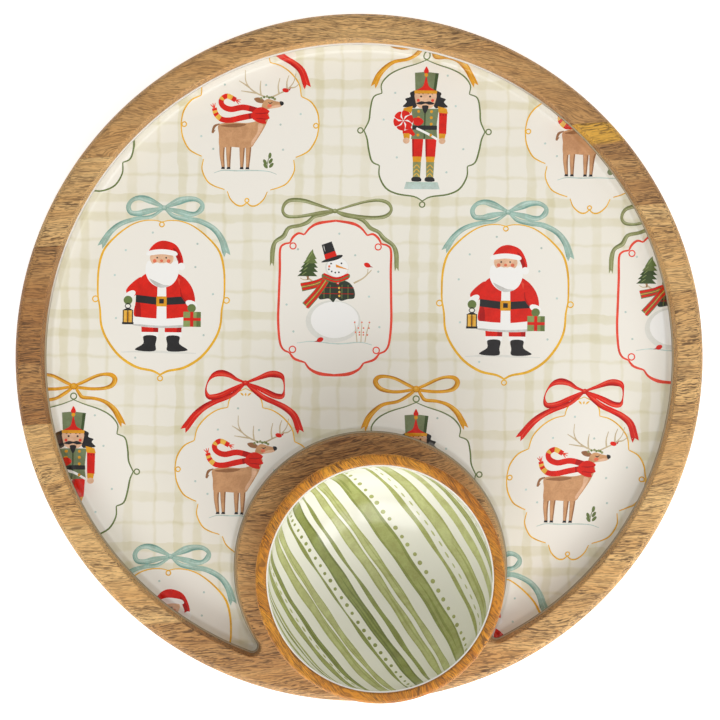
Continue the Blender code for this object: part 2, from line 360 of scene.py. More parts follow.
class TrayShape:
    """The tray's outlines and sections, worked out from the settings and the frame."""

    def __init__(self):
        chosen = settings("tray")
        self.recess_radius = TRAY_RADIUS - chosen.rim_width / MM
        self.floor = TRAY_HEIGHT - chosen.recess_depth / MM
        self.lining_top = TRAY_HEIGHT - chosen.lining_drop / MM
        self.tip = chosen.tip_round / MM
        self.lip = chosen.lip_round / MM
        self.top_edge = chosen.top_edge / MM
        self.bottom_edge = chosen.bottom_edge / MM
        self.glue_gap = chosen.glue_gap / MM
        self.distance = WELL_CENTRE.length
        self.bearing = math.atan2(WELL_CENTRE.y, WELL_CENTRE.x)

    def spread(self, inset, tip):
        """Angle at the tray's centre between the well and the centre of either tip's rounding."""
        far = self.recess_radius - inset - tip
        near = COLLAR_RADIUS + inset + tip
        return math.acos((far**2 + self.distance**2 - near**2) / (2.0 * far * self.distance))

    def crescent(self, inset, steps=(240, 14, 96)):
        """The recess's outline, moved inwards: rim arc, left tip, collar arc, right tip."""
        rim_steps, tip_steps, collar_steps = steps
        tip = max(self.tip - inset, SHARPEST_TIP)
        far = self.recess_radius - inset - tip
        spread = self.spread(inset, tip)
        right = self.bearing + spread
        left = self.bearing - spread + FULL_TURN
        right_tip = Vector((math.cos(right), math.sin(right))) * far
        left_tip = Vector((math.cos(left), math.sin(left))) * far
        from_right = math.atan2(*(WELL_CENTRE - right_tip).yx)
        from_left = math.atan2(*(WELL_CENTRE - left_tip).yx)
        collar_start = from_left + math.pi
        collar_end = collar_start - (from_left - from_right) % FULL_TURN
        left_end = left + (from_left - left) % FULL_TURN
        right_end = from_right + (right - from_right) % FULL_TURN
        points = arc((0.0, 0.0), self.recess_radius - inset, right, left, rim_steps)
        points += arc(left_tip, tip, left, left_end, tip_steps)[1:]
        points += arc(WELL_CENTRE, COLLAR_RADIUS + inset, collar_start, collar_end, collar_steps)[1:]
        points += arc(right_tip, tip, from_right, right_end, tip_steps)[1:-1]
        return points

    def inset_at(self, x, y):
        """How far inside the recess's outline a point lies."""
        point = Vector((x, y))
        spread = self.spread(0.0, self.tip)
        for side in (-1.0, 1.0):
            way = self.bearing + side * spread
            centre = Vector((math.cos(way), math.sin(way))) * (self.recess_radius - self.tip)
            out = point - centre
            past_rim = side * (centre.x * out.y - centre.y * out.x) < 0.0
            to_well = WELL_CENTRE - centre
            past_collar = side * (to_well.x * out.y - to_well.y * out.x) > 0.0
            if past_rim and past_collar and out.length < 2.0 * self.tip:
                return self.tip - out.length
        return min(self.recess_radius - point.length, (point - WELL_CENTRE).length - COLLAR_RADIUS)

    def cove(self):
        """Inset and height of the centre of the rounding between the recess's wall and its floor."""
        wall_foot = self.floor + COVE_RADIUS * (1.0 - math.sin(WALL_DRAFT))
        inset = (TRAY_HEIGHT - wall_foot) * math.tan(WALL_DRAFT) + COVE_RADIUS * math.cos(WALL_DRAFT)
        return inset, self.floor + COVE_RADIUS

    def section(self, offset, top, steps=8):
        """(inset, height) points down the wall and the cove to the floor, offset into the recess."""
        cove_inset, cove_height = self.cove()
        radius = COVE_RADIUS - offset
        points = [((TRAY_HEIGHT - top) * math.tan(WALL_DRAFT) + offset / math.cos(WALL_DRAFT), top)]
        for step in range(steps + 1):
            angle = WALL_DRAFT + (math.pi / 2.0 - WALL_DRAFT) * step / steps
            points.append((cove_inset - radius * math.cos(angle), cove_height - radius * math.sin(angle)))
        return points

    def height_at(self, inset, offset):
        """Height of the lined surface at this inset, offset into the recess."""
        cove_inset, cove_height = self.cove()
        radius = COVE_RADIUS - offset
        if inset >= cove_inset:
            return self.floor + offset
        if inset > cove_inset - radius * math.cos(WALL_DRAFT):
            return cove_height - math.sqrt(radius**2 - (cove_inset - inset) ** 2)
        return TRAY_HEIGHT - (inset - offset / math.cos(WALL_DRAFT)) / math.tan(WALL_DRAFT)

    def lip_section(self, draft):
        """(inset, height) points over the softened edge between the deck and a wall."""
        turn = math.pi / 2.0 - draft
        start = -self.lip * math.tan(turn / 2.0)
        foot = TRAY_HEIGHT - self.lip
        angles = [turn * step / 5.0 for step in range(6)]
        return [(start + self.lip * math.sin(a), foot + self.lip * math.cos(a)) for a in angles]


def overlay(boundary, rings, shapes):
    """Cuts a flat region along every outline; gives its points and triangles, and each triangle's top shape.

    Shapes are outlines in painting order. The top shape is None where only the region itself is left.
    """
    points = []
    edges = []
    outlines = []

    def add(outline):
        ids = list(range(len(points), len(points) + len(outline)))
        points.extend(Vector(point) for point in outline)
        return ids

    outlines.append(add(boundary))
    for ring in rings:
        ids = add(ring)
        edges += list(zip(ids, ids[1:] + ids[:1]))
    for shape in shapes:
        outlines.append(add(shape))
    places, _, triangles, _, _, origins = delaunay_2d_cdt(points, edges, outlines, 0, 1e-5)
    kept = [(t, max(o) - 1 if max(o) else None) for t, o in zip(triangles, origins) if 0 in o]
    used = sorted({i for triangle, _ in kept for i in triangle})
    renumber = {old: new for new, old in enumerate(used)}
    flat = [tuple(places[i]) for i in used]
    faces = [tuple(renumber[i] for i in triangle) for triangle, _ in kept]
    return flat, faces, [top for _, top in kept]


def add_row(bm, points, height):
    return [bm.verts.new((x, y, height)) for x, y in points]


def bridge(bm, low, high):
    """Faces between two closed rows of equally many points; the row called low is walked forwards."""
    for i, near in enumerate(low):
        j = (i + 1) % len(low)
        bm.faces.new((near, low[j], high[j], high[i]))


def flat_cap(bm, border, holes=()):
    """Closes a level row of corners, less the holes, with triangles."""
    rows = [border, *holes]
    corners = [vertex for row in rows for vertex in row]
    loops = []
    for row in rows:
        start = sum(len(outline) for outline in loops)
        loops.append(list(range(start, start + len(row))))
    flat = [Vector(vertex.co.xy) for vertex in corners]
    _, _, triangles, sources, _, origins = delaunay_2d_cdt(flat, [], loops, 0, 1e-5)
    for triangle, origin in zip(triangles, origins):
        if origin == [0]:
            bm.faces.new([corners[sources[i][0]] for i in triangle])


def carved_blank(shape):
    """The whole tray as one closed body: rounded disc, crescent recess and round well."""
    bm = bmesh.new()
    low = (TRAY_RADIUS - shape.bottom_edge, shape.bottom_edge)
    high = (TRAY_RADIUS - shape.top_edge, TRAY_HEIGHT - shape.top_edge)
    edges = arc(low, shape.bottom_edge, -math.pi / 2.0, 0.0, 8)
    edges += arc(high, shape.top_edge, 0.0, math.pi / 2.0, 8)
    outside = [(edges[0].x - FLAT_SUPPORT, 0.0), *edges, (edges[-1].x - FLAT_SUPPORT, TRAY_HEIGHT)]
    rows = [add_row(bm, circle((0.0, 0.0), radius, DISC_STEPS), height) for radius, height in outside]
    for below, above in zip(rows, rows[1:]):
        bridge(bm, below, above)
    bm.faces.new(reversed(rows[0]))

    lip = shape.lip_section(WALL_DRAFT)
    wall = [(lip[0][0] - FLAT_SUPPORT, TRAY_HEIGHT), *lip, *shape.section(0.0, shape.lining_top)]
    recess = [add_row(bm, shape.crescent(inset), height) for inset, height in wall]
    for below, above in zip(recess[1:], recess):
        bridge(bm, above, below)

    well_floor = TRAY_HEIGHT - WELL_DEPTH
    centre = (WELL_RADIUS - WELL_CORNER_ROUND, well_floor + WELL_CORNER_ROUND)
    corner = arc(centre, WELL_CORNER_ROUND, 0.0, -math.pi / 2.0, 6)
    lip = [(WELL_RADIUS - inset, height) for inset, height in shape.lip_section(0.0)]
    wall = [(lip[0][0] + FLAT_SUPPORT, TRAY_HEIGHT), *lip, *corner]
    well = [add_row(bm, circle(WELL_CENTRE, radius, WELL_STEPS), height) for radius, height in wall]
    for below, above in zip(well[1:], well):
        bridge(bm, above, below)
    bm.faces.new(well[-1])

    flat_cap(bm, rows[-1], (recess[0], well[0]))
    flat_cap(bm, recess[-1])
    bmesh.ops.recalc_face_normals(bm, faces=bm.faces)
    return bm


def board(name, blank, high_line, low_line, material):
    """The part of the carved blank between two glue lines, closed where it was cut."""
    bm = blank.copy()
    across = Vector((-math.sin(BOARD_TILT), math.cos(BOARD_TILT), 0.0))
    for line, outwards in ((high_line, across), (low_line, -across)):
        place = across * (line * math.cos(BOARD_TILT))
        parts = bm.verts[:] + bm.edges[:] + bm.faces[:]
        cut = bmesh.ops.bisect_plane(bm, geom=parts, plane_co=place, plane_no=outwards, clear_outer=True)
        edges = [part for part in cut["geom_cut"] if isinstance(part, bmesh.types.BMEdge)]
        if edges:
            bmesh.ops.edgeloop_fill(bm, edges=edges)
    return body_object(name, bm, material)


def lining(name, shape, start, end, top, material):
    """A closed coat over the recess's lower wall, cove and floor."""
    bm = bmesh.new()
    under = shape.section(start, top)[::-1]
    over = shape.section(end, top)
    rows = [add_row(bm, shape.crescent(inset), height) for inset, height in under + over]
    for below, above in zip(rows, rows[1:]):
        bridge(bm, below, above)
    flat_cap(bm, rows[0])
    flat_cap(bm, rows[-1])
    return body_object(name, bm, material)


def closed_sheet(name, flat, faces, top_at, bottom_at, material):
    """A thin closed layer: the flat triangles lifted to its top, and again to its bottom, with an edge."""
    points = [place_at(x, y) for place_at in (top_at, bottom_at) for x, y in flat]
    count = len(flat)
    sides = dict.fromkeys(side for face in faces for side in zip(face, face[1:] + face[:1]))
    under = [tuple(i + count for i in reversed(face)) for face in faces]
    edge = [(b, a, a + count, b + count) for a, b in sides if (b, a) not in sides]
    return mesh_object(name, points, [*faces, *under, *edge], [material])


# ---------------------------------------------------------------- painting


def flow(points, per=5):
    """An open smooth curve through the points."""
    places = [Vector(point) for point in points]
    places = [places[0] * 2.0 - places[1], *places, places[-1] * 2.0 - places[-2]]
    line = []
    for a, b, c, d in zip(places, places[1:], places[2:], places[3:]):
        for step in range(per):
            t = step / per
            bend = (a * 2 - b * 5 + c * 4 - d) * t**2 + (b * 3 - a - c * 3 + d) * t**3
            line.append((b * 2 + (c - a) * t + bend) / 2)
    return [*line, places[-2]]


def loop(points, per=5):
    """A closed smooth curve through the points."""
    count = len(points)
    padded = [points[i % count] for i in range(-2, count + 3)]
    return flow(padded, per)[2 * per : (2 + count) * per]


def mirrored(points):
    return [(-x, y) for x, y in reversed(points)]


def anticlockwise(outline):
    area = sum(a[0] * b[1] - a[1] * b[0] for a, b in zip(outline, outline[1:] + outline[:1]))
    return outline if area > 0.0 else outline[::-1]


def turning(a, b, c):
    """Twice the signed area of a triangle."""
    return (b[0] - a[0]) * (c[1] - a[1]) - (b[1] - a[1]) * (c[0] - a[0])


def untwisted(outline):
    """The outline itself, or two triangles where it is a four-sided one that is not convex."""
    if len(outline) != 4:
        return [outline]
    a, b, c, d = outline
    turns = (turning(a, b, c), turning(b, c, d), turning(c, d, a), turning(d, a, b))
    if min(turns) > 0.0 or max(turns) < 0.0:
        return [outline]
    return [triangle for triangle in ([a, b, c], [a, c, d]) if abs(turning(*triangle)) > 0.002]


INKS = {
    "paper": "F1ECE1",
    "mist": "E4E3DA",
    "dot": "C9DDD6",
    "white": "F6F4EF",
    "shade": "D6D6D2",
    "gold": "EAA420",
    "gold_light": "F6C04E",
    "gold_deep": "BE7F14",
    "red": "E6210F",
    "red_light": "F4503A",
    "red_deep": "B60D08",
    "pine": "343E31",
    "green": "6D7F46",
    "green_light": "93A463",
    "green_deep": "44582F",
    "coat": "7C8A63",
    "line": "F6BE36",
    "olive": "969B66",
    "olive_light": "B9BE92",
    "olive_deep": "717B47",
    "teal": "A9CABD",
    "teal_light": "C4DDD2",
    "teal_deep": "80ABA0",
    "black": "2B2A2B",
    "skin": "F2C4A0",
    "blush": "EE7A58",
    "fawn": "D6A274",
    "brown": "A0704A",
    "antler": "D2C09C",
    "carrot": "F09A2C",
    "stripe_light": "C6CB8D",
    "stripe_mid": "B0B671",
    "stripe_dark": "98A15B",
    "stripe_deep": "7F894A",
}
INK_NAMES = list(INKS)


class Painting:
    """Flat shapes in painting order, each with an ink."""

    def __init__(self):
        self.shapes = []
        self.shift = Vector((0.0, 0.0))

    def fill(self, ink, *outlines):
        for outline in outlines:
            places = [tuple(Vector(point[:2]) + self.shift) for point in outline]
            for simple in untwisted(places):
                self.shapes.append((anticlockwise(simple), ink))

    def block(self, ink, left, top, right, bottom):
        self.fill(ink, [(left, top), (right, top), (right, bottom), (left, bottom)])

    def curve(self, ink, points, per=5):
        self.fill(ink, loop(points, per))

    def oval(self, ink, x, y, across, high=None, turn=0.0, steps=14):
        spin = Matrix.Rotation(math.radians(turn), 2)
        squash = (high or across) / across
        ring = [spin @ Vector((place.x, place.y * squash)) for place in circle((0.0, 0.0), across, steps)]
        self.fill(ink, [place + Vector((x, y)) for place in ring])

    def dots(self, ink, size, *places):
        for x, y in places:
            self.oval(ink, x, y, size, steps=8)

    def stroke(self, inks, points, widths, per=5, closed=False):
        """A brush stroke along a smooth line; widths and inks are spread evenly along it."""
        line = loop(points, per) if closed else flow(points, per)
        last = len(line) - (0 if closed else 1)
        sides = []
        for i, place in enumerate(line):
            before = line[i - 1] if closed else line[max(i - 1, 0)]
            after = line[(i + 1) % len(line)] if closed else line[min(i + 1, last)]
            along = (after - before).normalized()
            width = np.interp(i / last * (len(widths) - 1), range(len(widths)), widths)
            out = Vector((-along.y, along.x)) * (width / 2.0)
            sides.append((place + out, place - out))
        if closed:
            sides.append(sides[0])
        names = (inks,) if isinstance(inks, str) else inks
        for i, (a, b) in enumerate(zip(sides, sides[1:])):
            self.fill(names[int(i * len(names) / (len(sides) - 1))], [a[0], b[0], b[1], a[1]])

    def frame(self, ink, right_side, widths, curls):
        """A mirrored frame: the paper inside it, its line, and small loops where curves meet."""
        left_side = [mirrored(curve) for curve in reversed(right_side)]
        self.fill("paper", [place for curve in right_side + left_side for place in flow(curve, 4)[:-1]])
        for side in (right_side, left_side):
            for i, curve in enumerate(side):
                share = (i / len(side), (i + 1) / len(side))
                ends = share if side is right_side else (1.0 - share[0], 1.0 - share[1])
                start, end = [np.interp(e * (len(widths) - 1), range(len(widths)), widths) for e in ends]
                self.stroke(ink, curve, (start * 0.7, start, end, end * 0.7), per=4)
        for x, y, size in curls:
            for middle in (-x, x) if x else (0.0,):
                self.stroke(ink, circle((middle, y), size, 8), (0.7,), per=2, closed=True)

    def snow(self, places):
        self.dots("dot", 0.65, *places)


def ribbon(art, tone, places):
    """A satin ribbon along (x, y, width) places: one tone with a pale and a dark streak that come and go."""
    line = flow(places, 4)
    last = len(line) - 1
    sides = []
    for i, place in enumerate(line):
        along = (line[min(i + 1, last)] - line[max(i - 1, 0)]).xy.normalized()
        sides.append(Vector((-along.y, along.x)) * (place.z / 2.0))
    streaks = ((tone, -1.0, 1.0), (f"{tone}_light", 0.1, 0.75), (f"{tone}_deep", -0.95, -0.35))
    for ink, inner, outer in streaks:
        for i in range(last):
            edges = []
            for j in (i, i + 1):
                swell = 1.0 if ink == tone else 0.15 + 0.85 * math.sin(2.2 * math.pi * j / last) ** 2
                for share in (inner, inner + (outer - inner) * swell):
                    edges.append(line[j].xy + sides[j] * share)
            art.fill(ink, [edges[0], edges[2], edges[3], edges[1]])


def bow(art, tone, x, y, knot):
    """A ribbon bow: two forked tails, two loops and a knot, each ribbon as (x, y, width) from the knot."""
    art.shift = Vector((x, y))
    for tail in BOWS[tone][2:]:
        ribbon(art, tone, tail)
        end = Vector(tail[-1][:2])
        way = (end - Vector(tail[-2][:2])).normalized()
        out = Vector((-way.y, way.x)) * tail[-1][2] / 2.0
        for side in (-1.0, 1.0):
            art.fill(tone, [end + out * side, end - out * 0.1 * side, end + way * 2.4 + out * 0.85 * side])
    for loop_places in BOWS[tone][:2]:
        ribbon(art, tone, loop_places)
    art.oval(f"{tone}_deep", 0.0, -0.1, knot * 1.1, knot)
    art.oval(tone, 0.0, 0.1, knot * 0.95, knot * 0.85)
    art.oval(f"{tone}_light", -knot * 0.15, knot * 0.2, knot * 0.45, knot * 0.35)
    art.shift = Vector((0.0, 0.0))


BOWS = {
    "red": (
        [
            (0.6, 0.3, 1.2), (7, 2.7, 2.2), (12.6, 4.8, 3.4), (16.6, 5, 3.8), (20, 3.9, 2.9),
            (21.4, 0.8, 1), (21.6, -4.4, 0.9), (20.4, -7.2, 2.9), (16.6, -7, 3.2), (11.6, -4.8, 3.1),
            (6.5, -2.5, 2.3), (0.6, -0.3, 1.4),
        ],
        [
            (-0.6, 0.3, 1.2), (-5, 1.9, 1.8), (-9, 4.2, 2.8), (-13.6, 5.3, 3.7), (-17.6, 4.3, 2.8),
            (-20.6, 1.2, 1), (-22.1, -3.7, 0.9), (-20.9, -7.6, 2.6), (-17.8, -8.2, 3.3), (-13.4, -7, 3.2),
            (-8.2, -4.2, 2.6), (-0.6, -0.3, 1.4),
        ],
        [
            (-1, -1, 1.4), (-5.5, -5.4, 2.3), (-9.8, -8, 2.6), (-16.6, -10.6, 3), (-22.6, -13.8, 3.4),
            (-27.7, -18.3, 3.9), (-33, -25.4, 4.2),
        ],
        [
            (1, -1, 1.4), (5.5, -4.7, 2.6), (10.6, -8.2, 3), (16.6, -10.8, 3), (22.6, -13.8, 3.4),
            (27.7, -18.3, 3.9), (30.6, -25.6, 4.2),
        ],
    ),
    "teal": (
        [
            (0.6, 0.4, 1.4), (7.7, 3.5, 4.1), (12.8, 4.9, 3.3), (17.8, 4.8, 2.5), (21.1, 2.4, 2.3),
            (20.7, -0.6, 3.1), (17.8, -3, 2.4), (13.8, -3.5, 3.3), (8.8, -2.3, 3.3), (0.6, -0.3, 1.4),
        ],
        [
            (-0.6, 0.4, 1.4), (-8.3, 4, 3.7), (-13.4, 5.4, 2.9), (-17.7, 4.1, 2.3), (-20, 0.7, 2.6),
            (-18.7, -2.9, 2.7), (-14.4, -3.4, 3), (-9.3, -2.1, 3.3), (-0.6, -0.3, 1.4),
        ],
        [
            (-0.8, -1, 1.2), (-7.3, -5.1, 2), (-14.4, -6.1, 2.2), (-24, -9.2, 2.7), (-30, -14, 3.1),
            (-34.4, -20.6, 3.8),
        ],
        [
            (0.8, -1, 1.2), (5.5, -4.7, 2.4), (12.5, -6.3, 2.6), (19.6, -7.2, 2.9), (27.4, -11.2, 3.1),
            (32.3, -17.2, 3.6), (34.8, -24.4, 4.2),
        ],
    ),
    "olive": (
        [
            (0.6, 0.3, 1), (10.6, 3.5, 1.4), (17.6, 5.4, 1.4), (24.6, 6.2, 1.8), (29.7, 4.6, 2),
            (31.5, 0.8, 1.6), (28.6, -2.5, 2.2), (22.6, -3.6, 2), (14.6, -3.3, 2.2), (7.5, -2.3, 2.2),
            (0.6, -0.3, 1.2),
        ],
        [
            (-0.6, 0.3, 1), (-10.6, 3.5, 1.8), (-17.6, 5.5, 2.2), (-24.6, 5.7, 2.2), (-28, 3.6, 1.9),
            (-29.2, -0.3, 1.6), (-27, -3.2, 1.9), (-21.6, -3.6, 1.6), (-14.6, -2.5, 1.8), (-6.5, -0.9, 2),
            (-0.6, -0.2, 1.2),
        ],
        [
            (-1, -0.6, 1.4), (-6.5, -2.1, 2.1), (-11.6, -3.4, 2), (-15.2, -6.6, 2.2), (-19.6, -8.4, 2),
            (-25.7, -9.9, 2.1), (-28.6, -14.6, 2.6), (-33, -17.6, 2.1), (-34.5, -22.4, 2.7),
            (-34.8, -29, 2.4),
        ],
        [
            (1, -0.6, 1.4), (5.5, -2.1, 2.6), (12.6, -3.8, 2), (16.8, -6, 2.1), (20, -9.4, 2.3),
            (24.5, -11.6, 2), (27.6, -15.2, 2.5), (32.5, -18.7, 2.1), (34.5, -23.4, 2.7), (34.8, -31, 2.4),
        ],
    ),
    "gold": (
        [
            (0.8, 0.4, 1.4), (4.7, 2, 1.8), (11.8, 5.5, 1.8), (16.8, 6.8, 1.8), (21.2, 6.4, 2.4),
            (23, 3.9, 2.9), (21.2, 0.6, 2.6), (16.8, -1, 1.9), (9.8, -1.4, 1.8), (0.8, -0.6, 1.8),
        ],
        [
            (-0.8, 0.4, 1.4), (-4.4, 2, 1.9), (-11.4, 5.5, 1.8), (-17.2, 6.8, 1.8), (-21.4, 6.2, 2.4),
            (-22.9, 3.5, 2.9), (-20.4, 0.1, 2.6), (-15.4, -1.5, 2), (-9.4, -1.7, 1.8), (-0.8, -0.3, 1.6),
        ],
        [
            (-0.8, -1, 1.4), (-4.8, -4, 2), (-10.4, -7.2, 1.8), (-18, -8.8, 2), (-22.9, -12.1, 2.6),
            (-26.5, -16.4, 3.2), (-28.6, -21.2, 3.4),
        ],
        [
            (1.2, -1, 1.4), (3.2, -4.2, 1.9), (5.2, -6.2, 2), (11.8, -6.8, 1.8), (17.8, -8.7, 2.2),
            (22.6, -12.6, 3), (25.4, -17, 3.4), (27, -20, 3.4),
        ],
    ),
}


def deer_picture():
    """A standing deer with a knitted scarf in a lobed gold frame with a red bow."""
    art = Painting()
    right = [
        [(0, 45.1), (5.2, 42.6), (8.7, 39.2), (9.8, 34.5)],
        [(9.8, 34.5), (15.5, 33), (21.5, 29), (26.4, 22.8), (28, 15.8)],
        [(28, 15.8), (33.6, 12.8), (37.4, 7), (38.6, 0)],
        [(38.6, 0), (37.4, -7.4), (33.8, -14), (29.6, -16.8), (26.2, -18.2)],
        [(25.2, -19.6), (25.8, -25.6), (22.6, -32), (18.4, -34.8), (12.8, -36.6)],
        [(11.2, -37.6), (9.2, -42), (5.6, -45.2), (2.4, -45.6), (0, -43.8)],
    ]
    art.frame("line", right, (0.6, 0.8, 0.9, 0.7, 0.9), [(36.8, -0.4, 1.3), (0, -42.6, 1.1)])
    for x in (-1.9, 0.1, 2.1):
        art.stroke("line", [(x * 1.5, 42.7), (x, 41.9), (x * 0.6, 41)], (0.3, 1.1, 0.3))
    bow(art, "red", -0.1, 48.3, 1.5)
    art.snow([(-15, 22), (8, 22), (17, 0), (-27, -7), (19, -14), (28, 6), (-4, 34), (-20, -14)])
    art.stroke("dot", [
        (-19, -27.4), (-14, -25.9), (-6, -26.1), (3, -25.8), (11, -26.2), (16, -27.8),
    ], (0.3, 0.7, 0.6, 0.3))
    art.stroke("brown", [(-17, 0), (-19.8, -1.4), (-20.8, -5), (-19.4, -3.4)], (0.6, 1.5, 1, 0.4))
    for x, foot in ((-11.4, -10.9), (-3.9, -3.6), (-15.1, -14), (-0.4, -0.4)):
        art.stroke("brown", [(x, -10.6), (x + 0.1, -17), (foot, -24.4)], (3.4, 2.7, 1.7))
        art.stroke("fawn", [(x - 0.3, -10.6), (x - 0.2, -17), (foot - 0.2, -24.2)], (2.4, 1.7, 1))
        art.fill("black", [(foot - 1.2, -25.2), (foot + 1, -25.2), (foot + 0.8, -24), (foot - 0.9, -24)])
    art.curve("fawn", [
        (-17.4, -0.4), (-10, 0.9), (-2, 0.7), (4, 2.2), (8.4, 6.4), (10.4, 5), (8.6, -0.6), (6.2, -5.2),
        (3.4, -9.8), (1, -12.9), (-5, -13.1), (-11, -12.7), (-16.4, -12.9), (-17.2, -6),
    ])
    art.curve("brown", [(-16.6, -1), (-9, 0.2), (-2, 0), (-6, -1.6), (-12, -1.8)], 4)
    art.curve("skin", [(4.6, 0.4), (7.4, -0.6), (5.4, -5.4), (1.8, -11.6), (1, -10), (4.2, -4.4)], 4)
    for points in (
        [(8, 15.2), (3, 17.4), (-1.4, 20.6), (-3.6, 24.8), (-3.8, 30)],
        [(3, 17.4), (-1.6, 18), (-5.8, 18.6)],
        [(-1.4, 20.6), (-4.4, 22.6), (-7.2, 24.2)],
        [(5.4, 16.4), (4.8, 20.4), (5, 24.4)],
        [(11.4, 15.2), (15.4, 17.2), (19.8, 19.6), (23.2, 23.6), (24.4, 28.6)],
        [(15.4, 17.2), (14.8, 21.4), (15.6, 26)],
        [(19.8, 19.6), (19.6, 24), (20.6, 27.6)],
        [(21.2, 20.6), (24.2, 21), (26.8, 23.2)],
    ):
        art.stroke("antler", points, (0.9, 0.7, 0.4), per=4)
    art.curve("brown", [(7.6, 13.2), (4.6, 15), (1.6, 14.4), (3.2, 12.4), (6.4, 11.8)], 4)
    art.curve("fawn", [
        (6.4, 8.6), (6.8, 12.4), (9.4, 14.2), (13.2, 13.2), (16.6, 12.4), (17.6, 11), (16, 9.8), (12, 9),
    ])
    art.curve("skin", [(10.4, 9.4), (13.4, 10.8), (16.4, 11), (16.4, 9.9), (12.6, 9.1)], 4)
    art.curve("black", [(16, 12.9), (17.8, 12.8), (18.3, 11.4), (16.8, 10.6)], 4)
    art.stroke("black", [(9.6, 12.3), (10.8, 11.8), (12, 12.5)], (0.3, 0.6, 0.3))
    art.oval("blush", 10.4, 10.4, 1.3, 1)
    art.dots("olive", 0.75, (5.6, 14.6), (8.8, 15.6), (11.2, 15.2), (13.2, 14.2))
    art.dots("green", 0.7, (7.2, 15.3), (10, 15), (12.2, 14.9))
    tails = (
        [(4, 7.6), (-4, 9.4), (-11, 8.2), (-15.6, 10), (-16.6, 13.4), (-13.4, 15.6), (-8.6, 13.4)],
        [(4, 5.4), (-4, 3.8), (-11, 2.2), (-16, 2.6), (-19.2, 5.4), (-20.4, 8.8)],
    )
    inks = (
        "red_deep", "red", "red", "red", "red", "red", "red", "gold_light", "red", "gold_light", "red",
    )
    for tail in tails:
        art.stroke(inks, tail, (3.2, 3.3, 3, 2.9, 2.7))
        end = Vector(tail[-1])
        way = (end - Vector(tail[-2])).normalized()
        for spread in (-0.5, 0, 0.5):
            tip = Matrix.Rotation(spread, 2) @ way * 3
            art.stroke("red_light", [
                tuple(end), tuple(end + tip * 0.5), tuple(end + tip),
            ], (0.9, 0.6, 0.3), per=2)
    art.curve("red", [
        (0.2, 4.2), (2.4, 8.4), (6.2, 9.6), (10.4, 7.6), (9.6, 5.6), (10.8, 3.4), (8.6, 2.4), (8.8, 0.4),
        (4.6, 1),
    ])
    art.stroke("red_deep", [(2.6, 6.2), (6, 6), (10, 6.6)], (0.3, 0.7, 0.3))
    art.stroke("red_deep", [(3, 3.4), (6, 3.2), (9.6, 2.8)], (0.3, 0.6, 0.3))
    art.oval("red", 19, 19.2, 1.9, 1.2, -15)
    art.fill("red_deep", [(20.4, 19.6), (22, 20.8), (21.4, 19)])
    art.stroke("green", [(10.4, -24.6), (10.8, -20.6), (11.6, -17.4)], (0.3, 0.5, 0.3))
    for x, y, turn in (
        (9.2, -21, 120), (12.4, -20.4, 60), (9.6, -23.2, 130), (12.8, -22.8, 50), (11.8, -17.4, 85),
    ):
        art.oval("green", x, y, 1.7, 0.9, turn)
    return art


